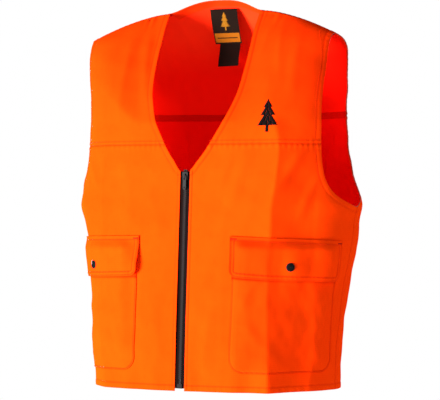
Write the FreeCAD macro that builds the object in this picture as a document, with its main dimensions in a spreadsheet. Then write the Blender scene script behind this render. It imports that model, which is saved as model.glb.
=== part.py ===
import FreeCAD, Part
import math
import os

# Blaze orange hunting vest, men's size L, worn shape. Millimetres.
# Frame: +X wearer's left, -Y front, +Z up; the origin is the midpoint between
# the two high shoulder points (where the shoulder seams meet the neckline).
V = FreeCAD.Vector
doc = FreeCAD.newDocument("vest")

# ------------------------------------------------------------------ sizes
SIZES = [
    ("vest_drop", 662.0, "high shoulder point to hem"),
    ("neck_half", 89.0, "half of the neck width at the shoulder"),
    ("shoulder_half", 239.0, "half of the shoulder width"),
    ("shoulder_drop", 47.0, "fall of the shoulder seam"),
    ("cloth", 1.0, "shell cloth with its seam allowances"),
    ("facing_cloth", 0.7, "facing strip thickness"),
    ("facing_wide", 11.0, "facing strip width"),
    ("seam_gap", 0.2, "gap between two pieces along a seam"),
    ("front_yoke_level", -237.0, "front yoke seam"),
    ("back_yoke_level", -185.0, "back yoke seam"),
    ("neck_low", -283.0, "lower end of the V neck"),
    ("slot_half", 9.4, "half of the gap between the front edges"),
    ("tape_half", 14.0, "half of the closed zip tape width"),
    ("tape_thick", 0.8, "zip tape thickness"),
    ("tooth_pitch", 3.5, "moulded tooth pitch on one tape"),
    ("tooth_high", 1.55, "tooth size along the zip"),
    ("tooth_deep", 2.6, "tooth size through the zip"),
    ("slider_wide", 10.4, "slider width"),
    ("slider_long", 13.0, "slider length"),
    ("slider_plate", 1.15, "slider plate thickness"),
    ("slider_channel", 3.5, "slider channel height"),
    ("pull_long", 24.0, "pull tab length"),
    ("pull_wide", 6.0, "pull tab width"),
    ("pull_thick", 1.2, "pull tab thickness"),
    ("box_wide", 9.0, "retainer box width"),
    ("box_long", 8.0, "retainer box length"),
    ("box_deep", 4.2, "retainer box depth"),
    ("pin_thick", 1.6, "insertion pin thickness"),
    ("pocket_inner", 91.0, "arc from the front centre to the pocket bag"),
    ("pocket_wide", 200.0, "pocket bag width along the body"),
    ("pocket_top", -426.0, "pocket mouth level"),
    ("pocket_low", -630.0, "pocket bottom level"),
    ("pocket_round", 26.0, "radius of the lower pocket corners"),
    ("pocket_room", 6.6, "free room inside the pocket"),
    ("flap_inner", 87.0, "arc from the front centre to the flap"),
    ("flap_wide", 208.0, "flap width along the body"),
    ("flap_top", -395.0, "flap seam level at its inner end"),
    ("flap_tilt_left", 9.0, "fall of the left flap towards the side"),
    ("flap_tilt_right", 3.0, "fall of the right flap towards the side"),
    ("flap_low", -464.5, "flap lower edge level at its inner end"),
    ("flap_thick", 1.5, "two cloth layers with interlining"),
    ("snap_cap_radius", 7.5, "snap cap"),
    ("snap_cap_high", 2.6, "snap cap dome height"),
    ("snap_socket_radius", 5.6, "snap socket"),
    ("snap_bore_radius", 2.75, "snap socket bore"),
    ("snap_stud_radius", 5.2, "snap stud base"),
    ("snap_ball_radius", 2.0, "snap stud ball"),
    ("snap_arc", 189.5, "arc from the front centre to the snap"),
    ("snap_level", -446.0, "snap level"),
    ("label_wide", 52.0, "neck label width"),
    ("label_high", 64.0, "neck label height"),
    ("label_thick", 0.5, "label thickness"),
    ("care_wide", 41.0, "care label width"),
]
sheet = doc.addObject("Spreadsheet::Sheet", "dims")
for i, (name, value, note) in enumerate(SIZES):
    row = str(i + 1)
    sheet.set("A" + row, name)
    sheet.set("B" + row, repr(value))
    sheet.set("C" + row, note)
    sheet.setAlias("B" + row, name)
doc.recompute()


def S(name):
    return float(getattr(sheet, name))


HEM = -S("vest_drop")
XN, XT = S("neck_half"), S("shoulder_half")
CL = S("cloth")


# ------------------------------------------------------------- body shape
def table(pts):
    """Smooth monotone interpolation through (x, y) pairs."""
    xs = [p[0] for p in pts]
    ys = [p[1] for p in pts]
    n = len(xs)
    h = [xs[i + 1] - xs[i] for i in range(n - 1)]
    d = [(ys[i + 1] - ys[i]) / h[i] for i in range(n - 1)]
    m = [0.0] * n
    m[0], m[-1] = d[0], d[-1]
    for i in range(1, n - 1):
        if d[i - 1] * d[i] > 0:
            m[i] = 2 * d[i - 1] * d[i] / (d[i - 1] + d[i])

    def f(x):
        if x <= xs[0]:
            return ys[0] + m[0] * (x - xs[0])
        if x >= xs[-1]:
            return ys[-1] + m[-1] * (x - xs[-1])
        lo, hi = 0, n - 1
        while hi - lo > 1:
            k = (lo + hi) // 2
            if xs[k] <= x:
                lo = k
            else:
                hi = k
        t = (x - xs[lo]) / h[lo]
        return ((2 * t ** 3 - 3 * t * t + 1) * ys[lo]
                + (t ** 3 - 2 * t * t + t) * h[lo] * m[lo]
                + (-2 * t ** 3 + 3 * t * t) * ys[hi]
                + (t ** 3 - t * t) * h[lo] * m[hi])
    return f


# half width of the front and of the back, their depths and their squareness
WIDE_F = table([(HEM, 224), (-600, 226), (-540, 229), (-493, 233), (-440, 242),
                (-404, 248), (-369, 254), (-340, 261), (-317, 257), (-285, 249),
                (-230, 244), (-187, 244), (-120, 244), (-47, 247)])
WIDE_B = table([(HEM, 224), (-600, 226), (-540, 229), (-493, 233), (-440, 242),
                (-404, 248), (-369, 254), (-340, 261), (-317, 254), (-285, 242),
                (-230, 233), (-187, 231), (-120, 233), (-75, 242), (-47, 250)])
DEEP_F = table([(HEM, 154), (-560, 154.6), (-440, 153.4), (-340, 152.4),
                (-285, 151.8), (-255, 149), (-221, 146), (-189, 141),
                (-150, 138), (-47, 136)])
DEEP_B = table([(HEM, 132), (-560, 130), (-440, 128), (-340, 132),
                (-285, 134), (-187, 132), (-47, 128)])
SQ_F = table([(HEM, 2.5), (-440, 2.6), (-340, 2.5), (-187, 2.5), (-47, 2.6)])
SQ_B = table([(HEM, 2.3), (-340, 2.3), (-47, 2.4)])
SHIFT = table([(HEM, -2), (-600, -2), (-540, 1), (-480, 4), (-404, 6),
               (-340, 3), (-250, 3), (-120, 2), (-40, 0), (20, 0)])
# height of the shoulder line, its depth, and how far and how softly the cloth
# turns over it
DROP_HF = table([(0, 200), (XN, 200), (150, 150), (200, 100), (XT, 66), (262, 60)])
DROP_PF = table([(0, 1.16), (XN, 1.16), (150, 1.35), (200, 1.55), (XT, 1.7), (262, 1.8)])
DROP_HB = table([(0, 200), (XN, 200), (150, 170), (200, 130), (XT, 90), (262, 80)])
DROP_PB = table([(0, 1.25), (XN, 1.45), (150, 1.6), (200, 1.75), (XT, 1.9), (262, 1.9)])


def ridge_z(x, back):
    x = abs(x)
    if x < XN:
        return 22.0 * (1 - (x / XN) ** 2.6) ** 1.5 if back else 0.0
    return -S("shoulder_drop") * ((x - XN) / (XT - XN)) ** 1.6


def ridge_y(x, back):
    x = abs(x)
    if x < XN and back:
        return -18.0 + 18.0 * (1 - (x / XN) ** 2) ** 1.3
    return -18.0 - 14.0 * (x - XN) / (XT - XN)


def section(z, ang, back):
    """Point of the body section at level z; ang is counted from the middle
    of the front or of the back, 0 to 90 degrees towards the side."""
    wide, deep, sq = (WIDE_B, DEEP_B, SQ_B) if back else (WIDE_F, DEEP_F, SQ_F)
    a, b, n = wide(z), deep(z), sq(z)
    s, c = abs(math.sin(ang)), abs(math.cos(ang))
    r = ((s / a) ** n + (c / b) ** n) ** (-1.0 / n)
    x = r * s * (1 if ang >= 0 else -1)
    y0 = r * c * (1 if back else -1)
    high, soft = (DROP_HB, DROP_PB) if back else (DROP_HF, DROP_PF)
    t = (ridge_z(x, back) - z) / high(abs(x))
    t = max(0.0, min(1.0, t))
    p = soft(abs(x))
    g = (1 - (1 - t) ** p) ** (1 / p) if t > 0 else 0.0
    y = ridge_y(x, back) + (y0 - ridge_y(x, back)) * g
    return x, y


_top = {}


def top_level(ang, back):
    key = (round(abs(ang), 7), back)
    if key not in _top:
        lo, hi = -140.0, 30.0
        for _ in range(40):
            m = (lo + hi) / 2
            if ridge_z(section(m, abs(ang), back)[0], back) > m:
                lo = m
            else:
                hi = m
        _top[key] = (lo + hi) / 2
    return _top[key]


def body_point(ang, z, back):
    x, y = section(z, ang, back)
    return V(SHIFT(z) + x, y, z)


def cut_grad(f, u, v, du=1e-4, dv=1e-4, u_lim=(0, 1), v_lim=(0, 1)):
    u0, u1 = max(u_lim[0], u - du), min(u_lim[1], u + du)
    v0, v1 = max(v_lim[0], v - dv), min(v_lim[1], v + dv)
    a = f(u1, v).sub(f(u0, v))
    b = f(u, v1).sub(f(u, v0))
    n = a.cross(b)
    n.normalize()
    return n


def skin(f, nu, nv, off_a, off_b, outward, u_list=None, v_list=None):
    """Closed thin solid between two offsets of the surface f(u, v)."""
    us = u_list or [i / (nu - 1.0) for i in range(nu)]
    vs = v_list or [j / (nv - 1.0) for j in range(nv)]
    ga, gb = [], []
    for u in us:
        ra, rb = [], []
        for v in vs:
            p = f(u, v)
            n = cut_grad(f, u, v)
            if n.dot(outward(p)) < 0:
                n = n.negative()
            oa = off_a(u, v) if callable(off_a) else off_a
            ob = off_b(u, v) if callable(off_b) else off_b
            ra.append(p.add(V(n).multiply(oa)))
            rb.append(p.add(V(n).multiply(ob)))
        ga.append(ra)
        gb.append(rb)
    return between(ga, gb)


def between(ga, gb):
    sa, sb = Part.BSplineSurface(), Part.BSplineSurface()
    sa.interpolate(ga)
    sb.interpolate(gb)
    fa, fb = sa.toShape(), sb.toShape()

    def rim(s):
        u0, u1, v0, v1 = s.bounds()
        return [s.uIso(u0), s.uIso(u1), s.vIso(v0), s.vIso(v1)]
    faces = [fa, fb]
    for ca, cb in zip(rim(sa), rim(sb)):
        faces.append(Part.makeRuledSurface(ca.toShape(), cb.toShape()))
    shell = Part.Shell(faces)
    shell.sewShape()
    solid = Part.Solid(shell)
    if solid.Volume < 0:
        solid.reverse()
    if not solid.isValid():
        solid.fix(0.01, 0.01, 0.01)
    return solid


def away(p):
    """Rough outward direction of the body at a point."""
    return V(p.x / 3.0, p.y + 20.0, 12.0 + max(0.0, (p.z + 150) / 6.0))


# zip line: straight, from the foot of the V neck to the hem
ZIP_TOP = V(8.0, 0, -281.0)
ZIP_END = V(-2.5, 0, HEM + 4.0)


def zip_x(z):
    t = (z - ZIP_END.z) / (ZIP_TOP.z - ZIP_END.z)
    return ZIP_END.x + (ZIP_TOP.x - ZIP_END.x) * t


def front_y(x, z):
    lo, hi = 0.0, math.pi / 2
    x = abs(x - SHIFT(z))
    for _ in range(40):
        m = (lo + hi) / 2
        if section(z, m, False)[0] < x:
            lo = m
        else:
            hi = m
    return section(z, lo, False)[1]


# outlines: neck edge (x offset from its own middle line) and arm holes (z, y)
NECK_X = table([(-283, 9), (-278, 14), (-268, 21), (-255, 31), (-221, 52),
                (-189, 68.5), (-160, 78.5), (-146, 82), (-110, 86.5),
                (-71, 88.3), (0, 89)])
NECK_MID = table([(-283, 7), (-250, 8.5), (-210, 9), (-180, 7.5), (-140, 5.5),
                  (-70, 3), (0, 0), (60, 0)])
ARM_F = [(-44, -30), (-50, -41), (-69, -53), (-100, -61), (-132, -67),
         (-187, -72), (-224, -74.5), (-262, -76), (-285, -75), (-305, -71),
         (-320, -63), (-332, -48), (-339, -30), (-343, -14), (-345, 0)]
ARM_B = [(-44, -30), (-50, -18), (-60, -2), (-78, 16), (-100, 27), (-132, 37),
         (-187, 45), (-224, 47), (-262, 47), (-285, 45), (-305, 40),
         (-320, 32), (-333, 20), (-341, 9), (-345, 0)]


def prism_xz(pts, y0, y1):
    w = Part.makePolygon([V(x, y0, z) for x, z in pts] + [V(pts[0][0], y0, pts[0][1])])
    return Part.Face(w).extrude(V(0, y1 - y0, 0))


def smooth_prism(curve, rest, axis, lo, hi):
    """Prism whose outline is one smooth curve closed by straight runs.
    curve and rest are lists of 2-D points; axis is 'x' or 'y'."""
    def p3(q):
        return V(q[0], lo, q[1]) if axis == "y" else V(lo, q[0], q[1])
    bs = Part.BSplineCurve()
    bs.interpolate([p3(q) for q in curve])
    edges = [bs.toShape()]
    line = [curve[-1]] + rest + [curve[0]]
    for a, b in zip(line[:-1], line[1:]):
        edges.append(Part.LineSegment(p3(a), p3(b)).toShape())
    face = Part.Face(Part.Wire(edges))
    d = V(0, hi - lo, 0) if axis == "y" else V(hi - lo, 0, 0)
    return face.extrude(d)


def slide_line(pts, dist):
    """Parallel of an open polyline, dist to its left."""
    out = []
    for i, p in enumerate(pts):
        a = pts[max(0, i - 1)]
        b = pts[min(len(pts) - 1, i + 1)]
        tx, ty = b[0] - a[0], b[1] - a[1]
        l = math.hypot(tx, ty)
        out.append((p[0] - ty / l * dist, p[1] + tx / l * dist))
    return out


def neck_curve(side, grow=0.0):
    zs = [-283, -279, -274, -268, -260, -250, -235, -221, -205, -189, -172, -155,
          -135, -110, -85, -60, -35, -12, 6]
    pts = [(NECK_MID(z) + side * NECK_X(min(z, 0)), z) for z in zs]
    if grow:
        pts = slide_line(pts, -side * grow)
    return pts


def arm_curve(rows, grow=0.0, front=True):
    pts = [(y, z) for z, y in rows]
    if grow:
        pts = slide_line(pts, -grow if front else grow)
    return pts


# ------------------------------------------------------- shell of the body
SIDE = math.radians(89.97)


def sheet_surface(back):
    def f(u, v):
        ang = -SIDE + 2 * SIDE * u
        top = top_level(ang, back)
        return body_point(ang, HEM + (top - HEM) * v, back)
    return f


def spread(n, lo, hi, ease):
    return [lo + (hi - lo) * (1 - (1 - i / (n - 1.0)) ** ease) for i in range(n)]


def full_sheet(back, a, b):
    us = [0.5 - 0.5 * math.cos(math.pi * i / 44.0) for i in range(45)]
    us = [0.6 * i / 44.0 + 0.4 * w for i, w in enumerate(us)]
    vs = spread(54, 0.0, 1.0, 1.45)
    return skin(sheet_surface(back), 0, 0, a, b, away, us, vs)


front_sheet = full_sheet(False, -CL / 2, CL / 2)
back_sheet = full_sheet(True, -CL / 2, CL / 2)
FC = S("facing_cloth")

FAR = 400.0


def neck_cut(grow=0.0, low=-283.0):
    """Opening of the V neck, widened by grow, from level low upwards."""
    left = neck_curve(1, grow)
    right = neck_curve(-1, grow)
    bsl, bsr = Part.BSplineCurve(), Part.BSplineCurve()
    bsl.interpolate([V(x, -300, z) for x, z in left])
    bsr.interpolate([V(x, -300, z) for x, z in right])
    e = [bsl.toShape(), bsr.toShape(),
         Part.LineSegment(V(left[0][0], -300, left[0][1]), V(right[0][0], -300, right[0][1])).toShape(),
         Part.LineSegment(V(left[-1][0], -300, left[-1][1]), V(left[-1][0], -300, 90)).toShape(),
         Part.LineSegment(V(right[-1][0], -300, right[-1][1]), V(right[-1][0], -300, 90)).toShape(),
         Part.LineSegment(V(left[-1][0], -300, 90), V(right[-1][0], -300, 90)).toShape()]
    return Part.Face(Part.Wire(Part.__sortEdges__(e))).extrude(V(0, 340, 0))


def slot_cut():
    w = S("slot_half")
    z0, z1 = HEM - 20, -276.0
    return prism_xz([(zip_x(z0) - w, z0), (zip_x(z0) + w, z0),
                     (zip_x(z1) + w, z1), (zip_x(z1) - w, z1)], -300, 0)


def arm_cut(back, grow=0.0):
    rows = ARM_B if back else ARM_F
    c = arm_curve(rows, grow, not back)
    far = -90.0 if back else 90.0
    rest = [(c[-1][0], c[-1][1]), (far, c[-1][1] + 0.0), (far, c[0][1])]
    rest = [(far, c[-1][1]), (far, c[0][1])]
    out = []
    for s in (1, -1):
        lo, hi = (150.0, FAR) if s > 0 else (-FAR, -150.0)
        out.append(smooth_prism(c, rest, "x", lo, hi))
    return out


def ridge_half(back, side):
    """Half space on one side of the shoulder seam, beyond the neck."""
    g = S("seam_gap") / 2
    sgn = 1 if back else -1
    a = V(side * (XN - 60), ridge_y(XN, False) + 14.0 * 60 / (XT - XN) + sgn * g, 0)
    b = V(side * 300, -18.0 - 14.0 * (300 - XN) / (XT - XN) + sgn * g, 0)
    pts = [V(a.x, a.y, -180), V(b.x, b.y, -180), V(b.x, -sgn * 200, -180), V(a.x, -sgn * 200, -180)]
    w = Part.makePolygon(pts + [pts[0]])
    return Part.Face(w).extrude(V(0, 0, 320))


def box(x0, x1, y0, y1, z0, z1):
    return Part.makeBox(x1 - x0, y1 - y0, z1 - z0, V(x0, y0, z0))


front_cutters = [neck_cut(), slot_cut()] + arm_cut(False) + [ridge_half(False, 1), ridge_half(False, -1)]
back_cutters = arm_cut(True) + [ridge_half(True, 1), ridge_half(True, -1)]


def side_of(shape, side):
    return [s for s in shape.Solids if s.CenterOfMass.x * side > 0]


def one(solids):
    solids = [s for s in solids if s.Volume > 1.0]
    if len(solids) == 1:
        return solids[0]
    return Part.makeCompound(solids)




def cut_each(shape, tools):
    for tool in tools:
        shape = shape.cut(tool)
    return shape


front_trim = cut_each(front_sheet, front_cutters)
back_trim = cut_each(back_sheet, back_cutters)
g2 = S("seam_gap") / 2
FY, BY = S("front_yoke_level"), S("back_yoke_level")
front_low = front_trim.common(box(-FAR, FAR, -FAR, FAR, HEM - 5, FY - g2))
front_top = front_trim.common(box(-FAR, FAR, -FAR, FAR, FY + g2, 60))
back_low = back_trim.common(box(-FAR, FAR, -FAR, FAR, HEM - 5, BY - g2))
back_top = back_trim.common(box(-FAR, FAR, -FAR, FAR, BY + g2, 80))

PIECES = {}


def add(name, shape, placement=None):
    o = doc.addObject("Part::Feature", name)
    o.Shape = shape
    o.Label = name
    o.Placement = placement or FreeCAD.Placement()
    PIECES[name] = o
    return o


for side, word in ((1, "left"), (-1, "right")):
    add("front_panel_" + word, one(side_of(front_low, side)))
    add("front_yoke_" + word, one(side_of(front_top, side)))
add("back_panel", one(back_low.Solids))
add("back_yoke", one(back_top.Solids))

# ---------------------------------------------------------------- facings
FW = S("facing_wide")
LIN = -CL / 2 - 0.3                  # outer face of a facing


def angle_for(value, z, back, by_x):
    """Angle on the section whose x (or y) has the wanted value."""
    lo, hi = 0.0, SIDE
    for _ in range(40):
        m = (lo + hi) / 2
        x, y = section(z, m, back)
        if by_x:
            low = x < value
        else:
            low = (y > value) if back else (y < value)
        if low:
            lo = m
        else:
            hi = m
    return lo


def strip_solid(rows, back):
    """Facing strip through rows of (signed angle, level) points."""
    ga, gb = [], []
    for row in rows:
        ra, rb = [], []
        for ang, z in row:
            p = body_point(ang, z, back)
            d = 2e-4
            a = body_point(ang + d, z, back).sub(body_point(ang - d, z, back))
            b = body_point(ang, z, back).sub(body_point(ang, z - 0.05, back))
            n = a.cross(b)
            n.normalize()
            if n.dot(away(p)) < 0:
                n = n.negative()
            ra.append(p.add(V(n).multiply(LIN - FC)))
            rb.append(p.add(V(n).multiply(LIN)))
        ga.append(ra)
        gb.append(rb)
    return between(ga, gb)


def even(pts, n):
    """Resample a polyline with smooth interpolation into n points."""
    acc = [0.0]
    for a, b in zip(pts[:-1], pts[1:]):
        acc.append(acc[-1] + math.hypot(b[0] - a[0], b[1] - a[1]))
    fx = table([(t, q[0]) for t, q in zip(acc, pts)])
    fy = table([(t, q[1]) for t, q in zip(acc, pts)])
    return [(fx(acc[-1] * i / (n - 1.0)), fy(acc[-1] * i / (n - 1.0))) for i in range(n)]


ACROSS = 4
for side, word in ((1, "left"), (-1, "right")):
    edge = [(x, z) for x, z in even(neck_curve(side), 60) if -270.0 < z < -0.6]
    wide = slide_line(edge, -side * FW)
    rows = []
    for (x0, z0), (x1, z1) in zip(edge, wide):
        row = []
        for k in range(ACROSS + 1):
            t = k / float(ACROSS)
            x, z = x0 + (x1 - x0) * t, z0 + (z1 - z0) * t
            z = min(z, ridge_z(x, False) - 0.5)
            row.append((side * angle_for(side * (x - SHIFT(z)), z, False, True), z))
        rows.append(row)
    add("neck_facing_" + word, strip_solid(rows, False))
rows = []
for i in range(41):
    x = -(XN - 3.0) + 2 * (XN - 3.0) * i / 40.0
    row = []
    for k in range(ACROSS + 1):
        z = ridge_z(x, True) - 1.6 - 9.0 * k / ACROSS
        sg = 1 if x >= SHIFT(z) else -1
        row.append((sg * angle_for(abs(x - SHIFT(z)), z, True, True), z))
    rows.append(row)
add("neck_facing_back", strip_solid(rows, True))
for side, word in ((1, "left"), (-1, "right")):
    out = []
    for back, pts in ((False, ARM_F), (True, ARM_B)):
        edge = even([(y, z) for z, y in pts], 64)[2:]
        wide = slide_line(edge, FW if back else -FW)
        rows = []
        for (y0, z0), (y1, z1) in zip(edge, wide):
            row = []
            for k in range(ACROSS + 1):
                t = k / float(ACROSS)
                y, z = y0 + (y1 - y0) * t, z0 + (z1 - z0) * t
                y = max(y, 0.15) if back and z < -300 else y
                y = min(y, -0.15) if (not back) and z < -300 else y
                row.append((side * angle_for(y, z, back, False), z))
            rows.append(row)
        out.append(strip_solid(rows, back))
    add("armhole_facing_" + word, Part.makeCompound(out))


# -------------------------------------------------------- pockets and flaps
def arc_angle(arc, z):
    """Angle on the front section at level z whose arc from the middle is arc."""
    s, px, py = 0.0, 0.0, section(z, 0.0, False)[1]
    n = 240
    for i in range(1, n + 1):
        ang = math.pi / 2 * i / n
        x, y = section(z, ang, False)
        step = math.hypot(x - px, y - py)
        if s + step >= arc:
            return math.pi / 2 * (i - 1 + (arc - s) / step) / n
        s, px, py = s + step, x, y
    return math.pi / 2


def surface_at(side, arc, z):
    return body_point(side * arc_angle(arc, z), z, False)


def normal_at(side, arc, z):
    d = 0.5
    a = surface_at(side, arc + d, z).sub(surface_at(side, arc - d, z))
    b = surface_at(side, arc, z + d).sub(surface_at(side, arc, z - d))
    n = a.cross(b)
    n.normalize()
    p = surface_at(side, arc, z)
    if n.dot(V(p.x, p.y, 0)) < 0:
        n = n.negative()
    return n


def ease(t):
    t = max(0.0, min(1.0, t))
    return t * t * (3 - 2 * t)


PI0, PW = S("pocket_inner"), S("pocket_wide")
PT, PL, PR = S("pocket_top"), S("pocket_low"), S("pocket_round")
FI, FWID = S("flap_inner"), S("flap_wide")
FT, FLOW = S("flap_top"), S("flap_low")
ROOM = S("pocket_room")


def bag_puff(arc, z):
    """0 on the sewn edges, 1 in the middle and at the mouth."""
    a = (arc - PI0) / 30.0
    b = (PI0 + PW - arc) / 30.0
    c = (z - PL) / 42.0
    return ease(a) * ease(b) * ease(c)


def flap_puff(arc, z):
    a = (arc - PI0) / 28.0
    b = (PI0 + PW - arc) / 28.0
    up = ease((FT - 4.0 - z) / 20.0)
    return ease(a) * ease(b) * up


def bag_map(side):
    def f(u, v):
        z = PL + (PT - PL) * v
        inset = 0.0
        if z < PL + PR:
            q = PL + PR - z
            inset = PR - math.sqrt(max(0.0, PR * PR - q * q))
        arc = PI0 + inset + (PW - 2 * inset) * u
        return arc, z
    return f


def flap_map(side):
    def f(u, v):
        # lower corners are rounded with a small radius, the lower edge dips
        # a little towards the middle
        tilt = S("flap_tilt_left") if side > 0 else S("flap_tilt_right")
        low = FLOW - tilt * u - 1.5 * math.sin(math.pi * u)
        top = FT - tilt * u
        r = 13.0
        z = top + (low - top) * v
        inset = 0.0
        if z < low + r:
            q = low + r - z
            inset = r - math.sqrt(max(0.0, r * r - q * q))
        arc = FI + inset + (FWID - 2 * inset) * u
        return arc, z
    return f


def pocket_skin(side, mapping, off_in, off_out, us, vs):
    ga, gb = [], []
    for u in us:
        ra, rb = [], []
        for v in vs:
            arc, z = mapping(u, v)
            p, n = surface_at(side, arc, z), normal_at(side, arc, z)
            ra.append(p.add(V(n).multiply(off_in(arc, z))))
            rb.append(p.add(V(n).multiply(off_out(arc, z))))
        ga.append(ra)
        gb.append(rb)
    return between(ga, gb)


def corner_steps(n_low, n_up, frac):
    """Parameter steps that crowd the rounded end (frac of the length)."""
    a = [frac * (1 - math.cos(math.pi / 2 * i / n_low)) for i in range(n_low)]
    b = [frac + (1 - frac) * i / n_up for i in range(n_up + 1)]
    return a + b


bag_vs = corner_steps(9, 16, PR / (PT - PL))
bag_us = [0.5 - 0.5 * math.cos(math.pi * i / 26.0) for i in range(27)]
bag_us = [0.5 * w + 0.5 * i / 26.0 for i, w in enumerate(bag_us)]
flap_vs = [1 - t for t in corner_steps(8, 12, 13.0 / (FT - FLOW))][::-1]
FTH = S("flap_thick")
CAPN = CL / 2


def bag_in(arc, z):
    return CAPN + 0.3 + ROOM * bag_puff(arc, z)


def bag_out(arc, z):
    return bag_in(arc, z) + CL


def flap_in(arc, z):
    return CAPN + 0.3 + CL + 0.25 + (ROOM + 2.25) * flap_puff(arc, z)


def flap_out(arc, z):
    return flap_in(arc, z) + FTH


SNAP_A, SNAP_Z = S("snap_arc"), S("snap_level")


def snap_place(side, off):
    """Placement whose local Z is the outward normal at the snap."""
    p, n = surface_at(side, SNAP_A, SNAP_Z), normal_at(side, SNAP_A, SNAP_Z)
    return FreeCAD.Placement(p.add(V(n).multiply(off)), FreeCAD.Rotation(V(0, 0, 1), n))


def plane_of(body, role):
    return [f for f in body.Origin.OriginFeatures if f.Role == role][0]


def new_sketch(body, name, role, loops, lift=0.0):
    """Sketch of closed loops; a loop is a list of points or ('c', x, y, r)."""
    sk = body.newObject("Sketcher::SketchObject", name)
    sk.AttachmentSupport = [(plane_of(body, role), "")]
    sk.MapMode = "FlatFace"
    sk.AttachmentOffset = FreeCAD.Placement(V(0, 0, lift), FreeCAD.Rotation())
    import Sketcher
    for loop in loops:
        if loop[0] == "c":
            gi = sk.addGeometry(Part.Circle(V(loop[1], loop[2], 0), V(0, 0, 1), loop[3]), False)
            ci = sk.addConstraint(Sketcher.Constraint("Radius", gi, loop[3]))
            if len(loop) > 4:
                sk.setExpression("Constraints[%d]" % ci, loop[4])
            continue
        ids = []
        for a, b in zip(loop, loop[1:] + loop[:1]):
            ids.append(sk.addGeometry(Part.LineSegment(V(a[0], a[1], 0), V(b[0], b[1], 0)), False))
        for a, b in zip(ids, ids[1:] + ids[:1]):
            sk.addConstraint(Sketcher.Constraint("Coincident", a, 2, b, 1))
    return sk


def new_body(name, label=None):
    b = doc.addObject("PartDesign::Body", name)
    b.Label = label or name
    PIECES[b.Label] = b
    return b


def pad(body, sk, name, expr, reverse=False, middle=False):
    p = body.newObject("PartDesign::Pad", name)
    p.Profile = sk
    p.setExpression("Length", expr)
    p.Reversed = reverse
    if middle:
        p.Midplane = True
    return p


def turned(body, name, profile):
    """Solid of revolution about the body's own Z from an (r, z) outline."""
    sk = new_sketch(body, name + "_outline", "XZ_Plane", [profile])
    doc.recompute()
    rev = body.newObject("PartDesign::Revolution", name + "_turn")
    rev.Profile = sk
    rev.ReferenceAxis = (sk, ["V_Axis"])
    rev.Angle = 360.0
    return rev


CR, CH = S("snap_cap_radius"), S("snap_cap_high")
BORE = S("snap_bore_radius")
SR, BR = S("snap_stud_radius"), S("snap_ball_radius")
KR = S("snap_socket_radius")
for side, word in ((1, "left"), (-1, "right")):
    add("pocket_bag_" + word, pocket_skin(side, bag_map(side), bag_in, bag_out, bag_us, bag_vs))
    add("pocket_flap_" + word, pocket_skin(side, flap_map(side), flap_in, flap_out, bag_us, flap_vs))
    f_in, f_out = flap_in(SNAP_A, SNAP_Z), flap_out(SNAP_A, SNAP_Z)
    b_in, b_out = bag_in(SNAP_A, SNAP_Z), bag_out(SNAP_A, SNAP_Z)
    n = 7
    dome = [(CR * math.sin(math.pi / 2 * i / n), 0.6 + (CH - 0.6) * math.cos(math.pi / 2 * i / n)) for i in range(n + 1)]
    cap = new_body("snap_cap_" + word)
    turned(cap, "cap_" + word, [(0.0, 0.0), (CR - 0.4, 0.0)] + dome[::-1])
    cap.Placement = snap_place(side, f_out + 0.35)
    sock = new_body("snap_socket_" + word)
    turned(sock, "socket_" + word, [(BORE, 0.0), (KR - 0.3, 0.0), (KR, 0.3), (KR, 1.2), (KR - 0.6, 1.55), (BORE, 1.55)])
    sock.Placement = snap_place(side, f_in - 1.75)
    stud = new_body("snap_stud_" + word)
    turned(stud, "stud_" + word, [(0.0, 0.0), (SR, 0.0), (SR, 0.35), (BR + 0.6, 0.6), (BR - 0.25, 0.9),
                                  (BR, 1.5), (BR - 0.5, 1.95), (0.0, 2.05)])
    stud.Placement = snap_place(side, b_out + 0.15)
    post = new_body("snap_post_" + word)
    turned(post, "post_" + word, [(0.0, 0.0), (SR - 0.6, 0.0), (SR - 0.4, 0.3), (SR - 0.4, 0.6), (0.0, 0.6)])
    post.Placement = snap_place(side, b_in - 0.8)

# ---------------------------------------------------------------- the zip
# the closed zip lies straight; its own frame has Z along the zip (up), X
# across it and -Y out of the front
top_pt = V(ZIP_TOP.x, front_y(ZIP_TOP.x, -285.0), ZIP_TOP.z)
end_pt = V(ZIP_END.x, front_y(ZIP_END.x, ZIP_END.z), ZIP_END.z)
zdir = top_pt.sub(end_pt)
ZIP_LONG = zdir.Length
zdir.normalize()
ydir = V(0, 1, 0).sub(V(zdir).multiply(zdir.y))
ydir.normalize()
TT = S("tape_thick")
LAYER = CL / 2 + 0.35 + TT / 2          # tape middle behind the cloth middle
zrot = FreeCAD.Rotation(ydir.cross(zdir), ydir, zdir, "ZYX")
zip_place = FreeCAD.Placement(top_pt.add(V(ydir).multiply(LAYER)), zrot)
L = ZIP_LONG
TH = S("tape_half")
for side, word in ((1, "left"), (-1, "right")):
    tape = doc.addObject("Part::Box", "zipper_tape_" + word)
    tape.Label = "zipper_tape_" + word
    tape.setExpression("Length", "dims.tape_half - 2")
    tape.setExpression("Width", "dims.tape_thick")
    tape.Height = L - 1.6
    off = V(2.0 if side > 0 else -TH, -TT / 2, -L + 2.6)
    tape.Placement = zip_place.multiply(FreeCAD.Placement(off, FreeCAD.Rotation()))
    PIECES[tape.Label] = tape

pitch, thi, tde = S("tooth_pitch"), S("tooth_high"), S("tooth_deep")
ROWS = int((L - 20.0) / pitch)


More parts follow.
